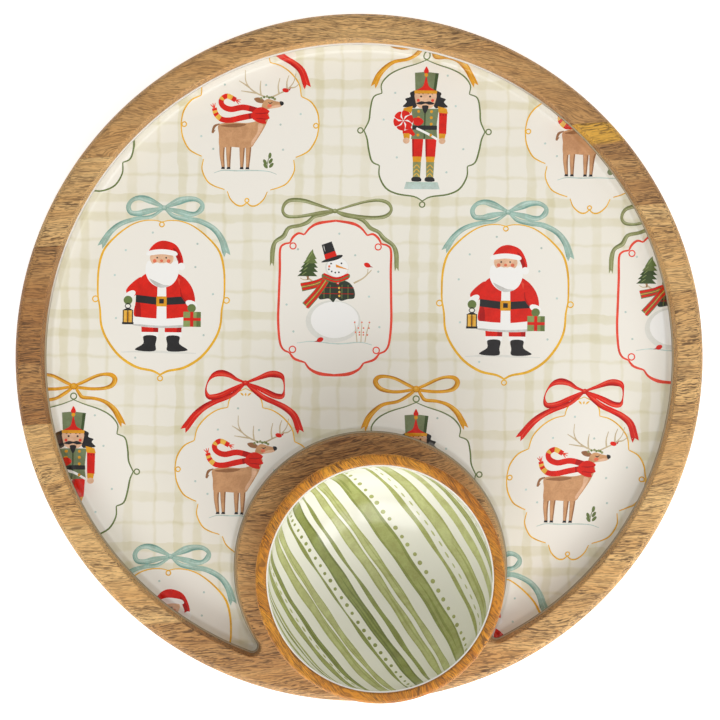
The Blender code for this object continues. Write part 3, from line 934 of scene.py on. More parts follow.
def soldier_picture():
    """A toy soldier with a swirled sweet in a green frame with a mustard bow."""
    art = Painting()
    right = [
        [(0, 37.6), (6, 35.2), (14.6, 32.4), (21, 28.8), (24.8, 23.8), (24.4, 18.8)],
        [(24.4, 18.8), (29, 16.6), (30.6, 10), (31.2, 3.6), (33.8, -2.2)],
        [(33.8, -2.2), (32, -6.6), (30.8, -13), (28.8, -19.4), (24.6, -21.6)],
        [(24.6, -21.6), (24.4, -27.6), (20.6, -34.2), (14, -37.4), (4.6, -38.8), (0, -41.2)],
    ]
    art.frame("green", right, (0.7, 0.9, 1, 0.9), [(35.8, -2.2, 1.5), (0, 39.6, 1.7), (0, -43.2, 1.5)])
    bow(art, "gold", 0, 45.2, 1.9)
    art.snow([(-17, 19), (12, 29), (17, 12), (-15, -17), (13, -25), (-23, 4), (22, -12)])
    art.fill("dot", [(-9.4, -30.6), (8.2, -30.6), (9.6, -34.6), (-10.4, -34.6)])
    art.fill("teal_light", [(-9.4, -30.6), (8.2, -30.6), (7, -31.8), (-8.4, -31.8)])
    for side in (-1, 1):
        x = side * 3.7
        art.fill("red", [(x - 3.2, -6), (x + 3.2, -6), (x + 2.7, -16.4), (x - 2.7, -16.4)])
        art.fill("red_deep", [(x - 3.2, -6), (x - 2, -6), (x - 1.8, -16.4), (x - 2.7, -16.4)])
        art.fill("gold", [(x - 2.6, -16.4), (x + 2.6, -16.4), (x + 2.2, -19.6), (x - 2.2, -19.6)])
        art.fill("olive", [(x - 2.3, -19.4), (x + 2.3, -19.4), (x + 2, -28.4), (x - 2, -28.4)])
        for y in (-21, -23.4, -25.8):
            art.stroke("gold_light", [(x - 1.7, y - 1.8), (x, y), (x + 1.7, y - 1.8)], (0.5,), per=2)
        art.curve("black", [(x - 2.2, -28), (x + 2, -28), (x + 2.6, -30.2), (x - 2.4, -30.2)], 3)
        art.curve("black", [
            (side * 3, 20.6), (side * 8.6, 19.4), (side * 8.4, 17), (side * 11.4, 15.8), (side * 10.4, 14),
            (side * 12.6, 11.4), (side * 8.2, 11), (side * 5, 11.4),
        ], 3)
    art.fill("coat", [(-7.6, 10.4), (7.6, 10.4), (6.6, 0), (7.4, -6.6), (-7.4, -6.6), (-6.6, 0)])
    art.block("green_deep", -0.4, 10, 0.4, -6.6)
    art.fill("black", [(-6.9, 1), (6.9, 1), (7, -1.4), (-7, -1.4)])
    art.stroke("white", [(-4.6, -0.6), (1.4, -3.4), (7.2, -6.6)], (1.2, 1.3, 1.2))
    art.dots("gold", 0.85, *[(side * 3.6, y) for side in (-1, 1) for y in (8.8, 5.4, 1.8, -4.4)])
    for side in (-1, 1):
        art.fill("red", [(side * 7.8, 9.6), (side * 12.4, 8.6), (side * 12.2, -3.6), (side * 8, -3.4)])
        art.fill("gold", [(side * 7, 11.8), (side * 12, 10.6), (side * 12.8, 7.8), (side * 7.6, 8.2)])
        art.dots("red_deep", 0.5, *[(side * x, 7) for x in (8.6, 10.2, 11.8)])
        art.fill("gold", [(side * 8, -3.4), (side * 12, -3.6), (side * 11.4, -6.4), (side * 8.2, -6.4)])
        art.oval("skin", side * 10, -7.6, 1.9, 1.7)
    art.stroke("red", [(-11.6, 2), (-8.8, -1.4), (-5.6, -4.6)], (1.4, 3.4, 1.6))
    art.curve("red", [(-6.6, 4.8), (-3, 5.4), (-0.6, 3.2), (-2.6, 1), (-5.8, 1.4)], 3)
    art.oval("white", -12, 3.6, 5.6, 5.6, steps=22)
    for turn in range(0, 360, 60):
        spin = Matrix.Rotation(math.radians(turn), 2)
        petal = [(0.2, 0), (2.6, 0.4), (4.8, -1.4), (5.6, 0.4), (4.6, 3.2), (2.2, 2.4)]
        art.curve("red", [tuple(spin @ Vector(corner) + Vector((-12, 3.6))) for corner in petal], 3)
    art.curve("skin", [(-5.2, 19.6), (5.2, 19.6), (5.6, 14.6), (3.2, 10.8), (-3.2, 10.8), (-5.6, 14.6)])
    art.dots("black", 0.6, (-2.5, 17.2), (2.5, 17.2))
    art.dots("red_light", 0.9, (-4, 15), (4, 15))
    art.stroke("black", [(-4, 18.6), (-2.6, 19.2), (-1.2, 18.6)], (0.4, 0.7, 0.4))
    art.stroke("black", [(4, 18.6), (2.6, 19.2), (1.2, 18.6)], (0.4, 0.7, 0.4))
    art.curve("black", [
        (0, 14.2), (2.4, 14.5), (5.2, 13.2), (2.4, 12.6), (0, 13.2), (-2.4, 12.6), (-5.2, 13.2),
        (-2.4, 14.5),
    ])
    art.curve("black", [(-1.7, 12), (1.7, 12), (1.2, 9.4), (0, 7.6), (-1.2, 9.4)], 4)
    art.fill("coat", [(-5.8, 20.2), (5.8, 20.2), (7, 30.2), (0, 31), (-6.4, 30.4)])
    art.fill("green_deep", [(4.2, 20.2), (5.8, 20.2), (7, 30.2), (5.2, 30.4)])
    art.curve("red", [(-5, 20.4), (-1.6, 23), (0, 28.6), (1.6, 23), (5, 20.4)], 4)
    art.fill("gold", [(-6.4, 20.6), (6.4, 20.6), (6.2, 18.8), (-6.2, 18.8)])
    art.curve("red", [(0, 29.6), (1.4, 31), (0.9, 32.6), (0, 34), (-0.9, 32.6), (-1.4, 31)], 3)
    art.dots("gold", 1.1, (0, 29.2))
    return art


def bearded_picture():
    """A bearded gift bringer with a lantern and a parcel in a gold oval with a teal bow."""
    art = Painting()
    right = [
        [
            (0, 43), (4.6, 43.9), (11, 43.4), (18, 40.6), (26, 34.4), (32.4, 26.6), (35, 16.6), (35.4, 6),
            (35.2, 0.6),
        ],
        [
            (35.2, 0.6), (34, -6), (33.2, -15), (29.6, -23.6), (22.6, -32.4), (13.4, -38.2), (4.4, -40.2),
            (0, -42.4),
        ],
    ]
    art.frame("line", right, (0.7, 1.3, 1.5), [(36.6, -0.4, 1.6), (0, 41.6, 1.3), (0, -44.4, 1.4)])
    bow(art, "teal", 1.2, 51, 1.4)
    art.snow([
        (-5, 37), (-26, 13), (20, 31), (19, 18), (29, 3), (24, -20), (-25, -11), (-20, 27), (-14, -33),
    ])
    art.stroke("mist", [(-22, -30), (-8, -29.4), (6, -29.8), (20, -30.2)], (0.4, 1.4, 1.2, 0.4))
    for side, x in ((-1, -6), (1, 7)):
        art.fill("red_deep", [(x - 4.8, -14.6), (x + 4.8, -14.6), (x + 4.6, -20), (x - 4.6, -20)])
        art.fill("red", [(x - 4.8, -14.6), (x + 2, -14.6), (x + 2, -19.4), (x - 4.6, -19.4)])
        art.fill("white", [(x - 5, -18.6), (x + 5, -18.6), (x + 4.6, -21.2), (x - 4.6, -21.2)])
        art.curve("black", [
            (x - 3.4 * side, -20.8), (x + 3.4 * side, -20.8), (x + 3.6 * side, -25),
            (x + 8.2 * side, -28.6), (x - 2.6 * side, -29.2), (x - 3.2 * side, -25.4),
        ], 4)
    art.curve("red", [
        (-14, -10.6), (-14.2, -2), (-13, 6), (-10.6, 12.6), (-3, 15.6), (9, 14.4), (15.4, 8.6), (17, 1),
        (16.2, -10.6), (1, -12),
    ])
    art.curve("red_deep", [(-13.9, -10.4), (-14, -3.2), (-11.6, -2.8), (-11.2, -11)], 4)
    art.curve("red_light", [(9, 12), (13.4, 7.6), (14.8, 1.4), (12, 1.6), (10.4, 7)], 4)
    art.fill("white", [(-2, 8), (2.8, 8), (3.2, -11.8), (-2.4, -11.8)])
    art.curve("white", [
        (-15.6, -10.2), (-6, -10.8), (4, -11), (17.6, -9.8), (18, -13), (15.6, -15.4), (1, -16.2),
        (-13.4, -15.2), (-16.2, -12.8),
    ])
    art.curve("shade", [
        (-14.6, -14.2), (1, -15), (16.6, -14.2), (15.6, -15.4), (1, -16.2), (-13.4, -15.2),
    ])
    art.fill("black", [(-14, 2.2), (0, 0.6), (16.8, 1.8), (16.9, -2.4), (0, -3.6), (-14.1, -2)])
    art.block("gold", -2.6, 1.4, 3.2, -4.2)
    art.block("black", -1, 0, 1.6, -2.6)
    art.curve("red", [(-11, 12), (-16, 9), (-19.6, 4.4), (-16.6, 1), (-11.4, 4.6)], 5)
    art.curve("red", [(11.4, 12.6), (17, 7), (19, -1), (15, -2.6), (10.4, 3.4)], 5)
    art.stroke("red_deep", [(10.8, 6.2), (11.6, 1.6), (14.8, -2.2)], (0.3, 0.8, 0.4))
    art.oval("white", -17.4, 2, 3.6, 2, 35)
    art.oval("white", 17, -2.6, 3.4, 1.9, -20)
    art.oval("green", -18.4, -0.9, 2.5, 2.5)
    art.oval("green", 17.2, -5, 2.4, 2.4)
    art.stroke("black", [
        (-18.4, -2.6), (-20, -4.2), (-18.4, -5.6), (-16.8, -4.2),
    ], (0.5,), per=3, closed=True)
    art.fill("black", [(-21.6, -6.6), (-18.4, -5), (-15.2, -6.6)])
    art.block("gold_light", -21, -6.6, -15.8, -13.4)
    art.block("gold", -19.4, -7.4, -17.4, -12.6)
    for x in (-21, -18.4, -15.8):
        art.block("black", x - 0.3, -6.6, x + 0.3, -13.4)
    art.block("black", -21.6, -13.2, -15.2, -14.4)
    art.block("green_light", 12.6, -7, 22.4, -15.4)
    art.block("green", 20, -7, 22.4, -15.4)
    art.block("red", 16.4, -7, 18.2, -15.4)
    art.block("red", 12.6, -10.4, 22.4, -12)
    art.curve("white", [
        (-7.6, 21), (-8.8, 15), (-6, 9.2), (0, 6.2), (6.4, 8.4), (9.6, 14.4), (8.8, 21), (3, 19.6),
        (-3, 19.6),
    ])
    art.curve("shade", [(-6.8, 11.4), (-4, 8), (0, 6.2), (5, 7.4), (1, 8), (-3.6, 10)], 4)
    art.curve("skin", [
        (-5.4, 24.8), (5.6, 24.8), (6.2, 20.6), (3, 19), (0.2, 20.2), (-3, 19), (-5.8, 20.6),
    ], 4)
    art.dots("blush", 1.1, (-3.8, 21.2), (4, 21.2))
    art.dots("black", 0.5, (-2.4, 23), (2.6, 23))
    art.oval("blush", 0.1, 21.3, 0.9, 0.8)
    art.curve("white", [
        (-5.2, 19), (-2.6, 20.4), (0.1, 19.6), (2.8, 20.4), (5.4, 19), (2.6, 17.8), (0.1, 18.6),
        (-2.4, 17.8),
    ], 4)
    art.curve("red", [
        (-6.4, 25.4), (-4.4, 30.4), (1, 32.6), (7.6, 30.6), (11, 25.6), (12.2, 20.2), (9.6, 19.4),
        (7.4, 24.8),
    ])
    art.curve("red_deep", [(6.6, 28.6), (9.8, 25.2), (11.2, 20.6), (9.8, 20), (7.6, 25)], 4)
    art.curve("white", [(-7.4, 26.6), (0.2, 27.8), (7.8, 26.6), (8.2, 24.2), (0.2, 25), (-7.8, 24.2)], 4)
    art.oval("white", 11.2, 18.2, 2.1, 2.1)
    return art


def snowman_picture():
    """A snowman in a waistcoat and top hat in a red notched frame with a green bow."""
    art = Painting()
    right = [
        [(0, 44.2), (9.1, 42.8), (14, 40.4), (17.6, 36.2)],
        [(17.6, 36.2), (20.9, 36.9), (23.9, 34.6), (25.5, 31.5)],
        [
            (25.5, 31.5), (29, 30.6), (31, 27.5), (31, 16), (31.4, 0), (31.6, -12), (30.6, -23.4),
            (28.6, -28), (25.1, -29.8),
        ],
        [(25.1, -29.8), (22.2, -33.2), (16.4, -35.2)],
        [(16.4, -35.2), (13.6, -38.8), (8, -41.4), (0, -42.2)],
    ]
    art.frame("red_light", right, (1.7, 1.2, 1.5, 1.2, 2), [(23.8, 29.8, 1.7), (23.4, -28, 1.8)])
    bow(art, "olive", -0.6, 49.7, 1.3)
    art.snow([(2, 37), (11, 25), (19, 2), (-27, -3), (-23, -18), (25, -15), (-21, 28), (24, 16)])
    art.stroke("dot", [
        (-21, -24.4), (-12, -23.4), (2, -24.6), (14, -23.6), (21, -25),
    ], (0.3, 0.6, 0.6, 0.3))
    art.stroke("antler", [(-8, 9), (-13, 10.4), (-17.4, 14.4)], (1.2, 0.9, 0.7))
    art.stroke("antler", [(-14, 11.4), (-17.4, 11), (-19.6, 12)], (0.7, 0.5, 0.4))
    art.stroke("antler", [(10.4, 9.4), (15.8, 12.4), (20.2, 16.8)], (1, 0.8, 0.5))
    art.stroke("antler", [(16.4, 12.8), (18, 15), (18.2, 17.6)], (0.7, 0.5, 0.4))
    art.stroke("brown", [(-15.4, 11), (-15.2, 13), (-15, 16)], (0.9, 0.9, 0.6))
    for y, wide in ((13, 5.6), (15.4, 5.4), (17.8, 4.8), (20.2, 4), (22.6, 3)):
        middle = -15.6 + (y - 13) * 0.22
        ink = "green" if y % 2 < 1 else "green_deep"
        art.fill(ink, [
            (middle - wide, y), (middle + wide, y), (middle + wide * 0.4, y + 3.6), (middle + 0.8, y + 5.6),
            (middle - wide * 0.3, y + 3.6),
        ])
        art.stroke("green_light", [
            (middle - wide * 0.5, y + 0.8), (middle, y + 3), (middle + 0.4, y + 4.4),
        ], (0.3, 0.6, 0.3), per=3)
    art.oval("mist", -0.8, -12, 15.4, 11.8, steps=28)
    art.oval("white", 0, -11.2, 13.4, 10.2, steps=28)
    art.oval("mist", 0.8, 18, 6.6, 6, steps=20)
    art.oval("white", 1.2, 18.2, 6, 5.4, steps=20)
    art.curve("pine", [
        (-8, 8.5), (0, 11), (7, 10.2), (10.6, 6), (10.8, 1.2), (7, 0.4), (3.5, -0.6), (0.8, 0.8),
        (-1, -1.4), (-3.5, 0.6), (-8.6, 0.2), (-9.6, 4),
    ])
    for x in (-6.4, -3, 3.6, 7):
        art.block("green", x, 8.4, x + 0.5, 0.8)
    for y in (6.6, 3.2):
        art.block("red_deep", -9, y, 10.4, y + 0.4)
    art.fill("red", [(-0.8, 10.6), (3.4, 10.6), (1.6, 8.2)])
    art.fill("white", [(0.6, 10.6), (2.6, 10.6), (1.6, 8.8)])
    art.dots("gold_light", 0.65, (2.2, 6.6), (2.4, 4.4), (2.4, 2.2))
    for tail in ([(-5, 11.4), (-11, 8.6), (-18.8, 6.8)], [(-5, 11), (-9.8, 4), (-16.4, -3.6)]):
        art.stroke("olive_deep", tail, (3.8, 4.4, 4.8))
        art.stroke("red", [(x - 0.5, y + 1.3) for x, y in tail], (1.2, 1.3, 1.4))
        art.stroke("red", [(x + 0.6, y - 1.1) for x, y in tail], (1, 1.2, 1.2))
        art.stroke("gold_light", [(x + 0.1, y + 0.1) for x, y in tail], (0.4, 0.4, 0.4))
    art.curve("olive_deep", [
        (-6.6, 14.6), (0.6, 12.2), (7.4, 14.6), (7.4, 11.8), (0.6, 9.4), (-6.8, 11.6),
    ], 5)
    art.stroke("red", [(-6.6, 14.4), (0.6, 12), (7.4, 14.4)], (1.2, 1.2, 1.2))
    art.stroke("red", [(-6.7, 12.4), (0.6, 10.2), (7.4, 12.4)], (0.9, 0.9, 0.9))
    art.fill("carrot", [(0.2, 19.8), (7.8, 16.8), (0.4, 18.2)])
    art.dots("black", 0.5, (-2.4, 20.2), (3.4, 20.4), (-3.6, 17), (-2, 15.8), (0, 15.2), (2, 15.4))
    art.dots("blush", 0.7, (-3.4, 18.6))
    art.curve("black", [(-7.8, 20.8), (-2, 21.6), (2.6, 23.2), (4, 25), (0.4, 24.8), (-5, 22.8)], 4)
    art.fill("black", [(-5.6, 22.2), (-7.8, 30.6), (-2.2, 32.6), (0.8, 24.4)])
    art.fill("red", [(-5.6, 22.4), (-6.3, 25.2), (-0.2, 27.4), (0.8, 24.6)])
    art.stroke("shade", [(-5.8, 27), (-6.4, 29), (-6.6, 30.2)], (0.2, 0.5, 0.2))
    for x, y, side in ((17.8, 19.6, -1), (-8, -22.4, 1)):
        art.oval("red", x, y, 1.9, 1.3, side * 25)
        art.fill("red_deep", [
            (x - side * 1.2, y - 0.2), (x - side * 3.4, y - 1.2), (x - side * 1.4, y - 1.2),
        ])
    for x, lean in ((12.6, -1.4), (14.8, 0.4), (17, 2.4)):
        art.stroke("antler", [(x, -23.6), (x + lean * 0.4, -18.2), (x + lean, -12.6)], (0.5, 0.5, 0.3))
        berries = ((lean, -12.4), (lean * 0.4 + 1.2, -15.6), (-0.9, -18), (1.3, -19.4))
        art.dots("blush", 0.5, *[(x + across, y) for across, y in berries])
    return art


def set_attribute(mesh, name, kind, domain, values):
    mesh.attributes.new(name, kind, domain).data.foreach_set("value", values)


def picture_shapes(art, name, middles):
    """The painting repeated at these places: (outline, ink) in painting order."""
    corners = [(x, y, 0.0) for outline, _ in art.shapes for x, y in outline]
    faces = []
    for outline, _ in art.shapes:
        start = faces[-1][-1] + 1 if faces else 0
        faces.append(list(range(start, start + len(outline))))
    picture = mesh_object(f"{name}_picture", corners, faces, [])
    set_attribute(picture.data, "ink", "INT", "FACE", [INK_NAMES.index(ink) for _, ink in art.shapes])
    set_attribute(picture.data, "height", "FLOAT", "POINT", [y * MM for _, y, _ in corners])
    places = mesh_object(f"{name}_places", [(x, y, 0.0) for x, y, _ in middles], [], [])
    set_attribute(places.data, "skew", "FLOAT", "POINT", [skew for *_, skew in middles])
    copies = link_object(f"{name}_pictures", bpy.data.meshes.new(name))
    run_tree(copies, repeat_tree(), {"Picture": picture, "Places": places, "Turn": [0.0, 0.0, PICTURE_LEAN]})
    mesh = copies.data
    inks = mesh.attributes["ink"].data
    flat = [vertex.co.xy / MM for vertex in mesh.vertices]
    shapes = [([flat[i] for i in face.vertices], INK_NAMES[inks[face.index].value]) for face in mesh.polygons]
    for made in (picture, places, copies):
        bpy.data.objects.remove(made)
    return shapes


def printed_sheet(name, boundary, rings, shapes, top_at, bottom_at, material):
    """A closed printed layer with its inks as corner colours; alpha 0 marks the bare ground."""
    flat, faces, tops = overlay(boundary, rings, [outline for outline, _ in shapes])
    made = closed_sheet(name, flat, faces, top_at, bottom_at, material)
    mesh = made.data
    palette = {ink: linear(value) for ink, value in INKS.items()}
    colours = mesh.attributes.new("ink", "FLOAT_COLOR", "CORNER")
    layout = mesh.uv_layers.new(name="OFBake")
    low = Vector((min(x for x, _ in flat), min(y for _, y in flat)))
    span = max(max(x for x, _ in flat) - low.x, max(y for _, y in flat) - low.y)
    for face in mesh.polygons:
        top = tops[face.index] if face.index < len(faces) else None
        start, size = (0.01, 0.98) if face.index < len(faces) else (0.001, 0.008)
        for corner in face.loop_indices:
            colours.data[corner].color = (0.0, 0.0, 0.0, 0.0) if top is None else palette[shapes[top][1]]
            place = (Vector(flat[mesh.loops[corner].vertex_index % len(flat)]) - low) / span
            layout.uv[corner].vector = place * size + Vector((start, start))
    return made


# ---------------------------------------------------------------- the bowl's shape


class BowlShape:
    """The bowl's sections, worked out from the settings and the frame."""

    def __init__(self):
        chosen = settings("bowl")
        self.rim = chosen.rim_width / MM
        self.rim_round = chosen.rim_round / MM
        self.lining_drop = chosen.lining_drop / MM

    def outer_radius(self, height):
        closing = (1.0 - height / BOWL_HEIGHT) ** BOWL_FULLNESS
        return BOWL_FOOT_RADIUS + (BOWL_RADIUS - BOWL_FOOT_RADIUS) * (1.0 - closing)

    def cavity(self, offset):
        """Half width at the rim and depth of the inside, offset into the cavity."""
        return BOWL_RADIUS - self.rim - offset, BOWL_HEIGHT - BOWL_FLOOR - offset

    def cavity_points(self, offset, drop, steps=40):
        """(radius, height) points of the inside from this far under the rim down to the axis."""
        across, depth = self.cavity(offset)
        end = math.acos(drop / depth)
        angles = [end * (1.0 - step / steps) for step in range(steps + 1)]
        return [(across * math.sin(a), BOWL_HEIGHT - depth * math.cos(a)) for a in angles]

    def wood_profile(self):
        """(radius, height) points round the wood: foot, outside, rounded rim, inside."""
        across, depth = self.cavity(0.0)
        points = [(0.0, FOOT_HOLLOW_DEPTH), (FOOT_HOLLOW_RADIUS - 2.0, FOOT_HOLLOW_DEPTH)]
        points += [(FOOT_HOLLOW_RADIUS, 0.4), (FOOT_HOLLOW_RADIUS + 0.5, 0.0)]
        points += [(BOWL_FOOT_RADIUS - 1.2, 0.0), (BOWL_FOOT_RADIUS - 0.3, 0.3)]
        top = BOWL_HEIGHT - self.rim_round
        points += [(self.outer_radius(height), height) for height in np.linspace(0.9, top, 26)[:-1]]
        outer = arc((BOWL_RADIUS - self.rim_round, top), self.rim_round, 0.0, math.pi / 2.0, 6)
        small = self.rim_round * 0.6
        inner = arc((across + small, BOWL_HEIGHT - small), small, math.pi / 2.0, math.pi, 5)
        points += [tuple(point) for point in outer + inner]
        return points + self.cavity_points(0.0, self.rim_round * 0.7)

    def coat_profile(self, start, end):
        under = self.cavity_points(start, self.lining_drop)
        over = self.cavity_points(end, self.lining_drop)
        return under[::-1] + over


class Decal:
    """Lays a flat round print on the inside of the bowl, true to length along every meridian."""

    def __init__(self, shape, offset, drop):
        across, depth = shape.cavity(offset)
        self.angles = np.linspace(0.0, math.acos(drop / depth), 400)
        speed = np.hypot(across * np.cos(self.angles), depth * np.sin(self.angles))
        steps = np.diff(self.angles) * (speed[1:] + speed[:-1]) / 2.0
        self.lengths = np.concatenate(([0.0], np.cumsum(steps)))

    @property
    def radius(self):
        return float(self.lengths[-1])

    def placer(self, shape, offset):
        """A function from flat places to points on the cavity at this offset."""
        across, depth = shape.cavity(offset)

        def place(x, y):
            length = math.hypot(x, y)
            angle = float(np.interp(length, self.lengths, self.angles))
            reach = across * math.sin(angle) / max(length, 1e-9)
            height = BOWL_CENTRE.z + BOWL_HEIGHT - depth * math.cos(angle)
            return (BOWL_CENTRE.x + x * reach, BOWL_CENTRE.y + y * reach, height)

        return place


# Lower and upper edge of each stripe, counted across them from the bowl's middle, and how far they run
STRIPE_REACH = 96.0
STRIPES = (
    (-79.9, -77.0, "stripe_mid"),
    (-73.0, -71.6, "stripe_dark"),
    (-70.2, -68.7, "stripe_mid"),
    (-63.0, -59.3, "stripe_dark"),
    (-55.9, -52.7, "stripe_deep"),
    (-46.9, -41.5, "stripe_mid"),
    (-40.5, -36.5, "stripe_mid"),
    (-29.9, -28.2, "stripe_dark"),
    (-23.0, -17.0, "stripe_deep"),
    (-13.6, -11.4, "stripe_dark"),
    (-6.0, -1.2, "stripe_mid"),
    (0.5, 4.9, "stripe_mid"),
    (10.8, 19.5, "stripe_dark"),
    (33.0, 35.5, "stripe_mid"),
    (41.5, 49.0, "stripe_mid"),
    (55.5, 61.5, "stripe_light"),
    (66.5, 73.0, "stripe_dark"),
)
# Level, width, length and pitch of each row of dashes, and level, size and pitch of each row of dots
DASHES = (
    (-57.5, 1.3, 3.6, 7.0, "stripe_light"),
    (38.5, 1.2, 3.8, 7.4, "stripe_light"),
    (75.2, 1.0, 3.4, 7.0, "stripe_mid"),
)
DOTS = ((-26.0, 1.1, 5.6, "stripe_dark"), (21.8, 1.3, 6.2, "stripe_mid"))
STRIPE_ACROSS = Vector((0.823, 0.568))
STRIPE_ALONG = Vector((0.568, -0.823))


def stripe_shapes():
    """The bowl's brushed stripes, dashes and dots: (outline, ink) in painting order."""
    art = Painting()
    dice = random.Random(21)
    ink_below = {"stripe_deep": "stripe_dark", "stripe_dark": "stripe_mid", "stripe_mid": "stripe_light"}

    def place(across, along):
        return tuple(STRIPE_ACROSS * across + STRIPE_ALONG * along)

    def wavering(level, size):
        waves = [(speed, dice.uniform(0.0, FULL_TURN)) for speed in (0.031, 0.083, 0.21)]
        return lambda t: level + size * sum(math.sin(t * w + p) for w, p in waves) / 2.0

    reach = np.arange(-STRIPE_REACH, STRIPE_REACH + 0.1, 3.0)
    for low, high, ink in STRIPES:
        wide = high - low
        left, right = wavering(low, 0.5), wavering(high, 0.5)
        inner_left, inner_right = wavering(wide * 0.16, wide * 0.05), wavering(wide * 0.16, wide * 0.05)
        art.fill(ink, [place(left(t), t) for t in reach] + [place(right(t), t) for t in reach[::-1]])
        if wide > 3.0:
            inside = [place(left(t) + inner_left(t), t) for t in reach]
            inside += [place(right(t) - inner_right(t), t) for t in reach[::-1]]
            art.fill(ink_below.get(ink, ink), inside)
            for _ in range(2):
                start, length = dice.uniform(-85.0, 40.0), dice.uniform(20.0, 60.0)
                level = dice.uniform(0.3, 0.7) * wide
                line = [place(left(t) + level, t) for t in np.linspace(start, start + length, 6)]
                art.stroke(ink, line, (0.2, wide * 0.16, wide * 0.2, 0.2), per=3)
    for level, wide, length, pitch, ink in DASHES:
        for t in np.arange(-90.0, 90.0, pitch):
            shift, size = dice.uniform(-0.4, 0.4), dice.uniform(0.8, 1.1)
            line = [place(level + shift, t + length * size * s) for s in (-0.5, 0.0, 0.5)]
            art.stroke(ink, line, (wide * 0.5, wide * size, wide * 0.5), per=3)
    for level, size, pitch, ink in DOTS:
        for t in np.arange(-90.0, 90.0, pitch):
            x, y = place(level + dice.uniform(-0.4, 0.4), t + dice.uniform(-0.5, 0.5))
            art.oval(ink, x, y, size * dice.uniform(0.85, 1.15), steps=10)
    return art.shapes


# ---------------------------------------------------------------- materials


def new_material(name, roughness, specular=0.5):
    """A material with one Principled shader; gives it, its tree and the shader's inputs."""
    material = bpy.data.materials.new(name)
    material.use_nodes = True
    tree = material.node_tree
    tree.nodes.clear()
    values = {"Roughness": roughness, "Specular IOR Level": specular}
    surface = add_node(tree, "ShaderNodeBsdfPrincipled", named=values)
    add_node(tree, "ShaderNodeOutputMaterial", surface)
    return material, tree, surface.node.inputs


def grain_place(tree, bearing):
    """Object coordinates in millimetres, turned so that X runs along the grain."""
    place = add_node(tree, "ShaderNodeTexCoord", out="Object")
    turned = add_node(tree, TURN, rotation_type="Z_AXIS", named={"Vector": place, "Angle": -bearing})
    return add_node(tree, VECTOR, turned, operation="SCALE", named={"Scale": 1.0 / MM})


def pattern(tree, place, along, across, detail, distortion=0.0):
    """A cloudy pattern with this many features per millimetre along the grain and across it."""
    squeezed = add_node(tree, VECTOR, place, (along, across, across), operation="MULTIPLY")
    values = {"Vector": squeezed, "Scale": 1.0, "Detail": detail, "Roughness": 0.55, "Distortion": distortion}
    return add_node(tree, "ShaderNodeTexNoise", named=values)


# Features per millimetre along and across, detail, threshold from and to, and strength of each kind of pore
PORES = (
    (0.07, 1.5, 2.0, 0.5, 0.64, 0.65),
    (0.15, 1.8, 1.0, 0.52, 0.64, 1.0),
    (0.3, 2.2, 1.0, 0.55, 0.66, 0.8),
)
# Brown laid over heartwood zones; it also paints the bowl's shadow on the collar as painted shade
HEARTWOOD_AND_SHADE = "BFA58C"


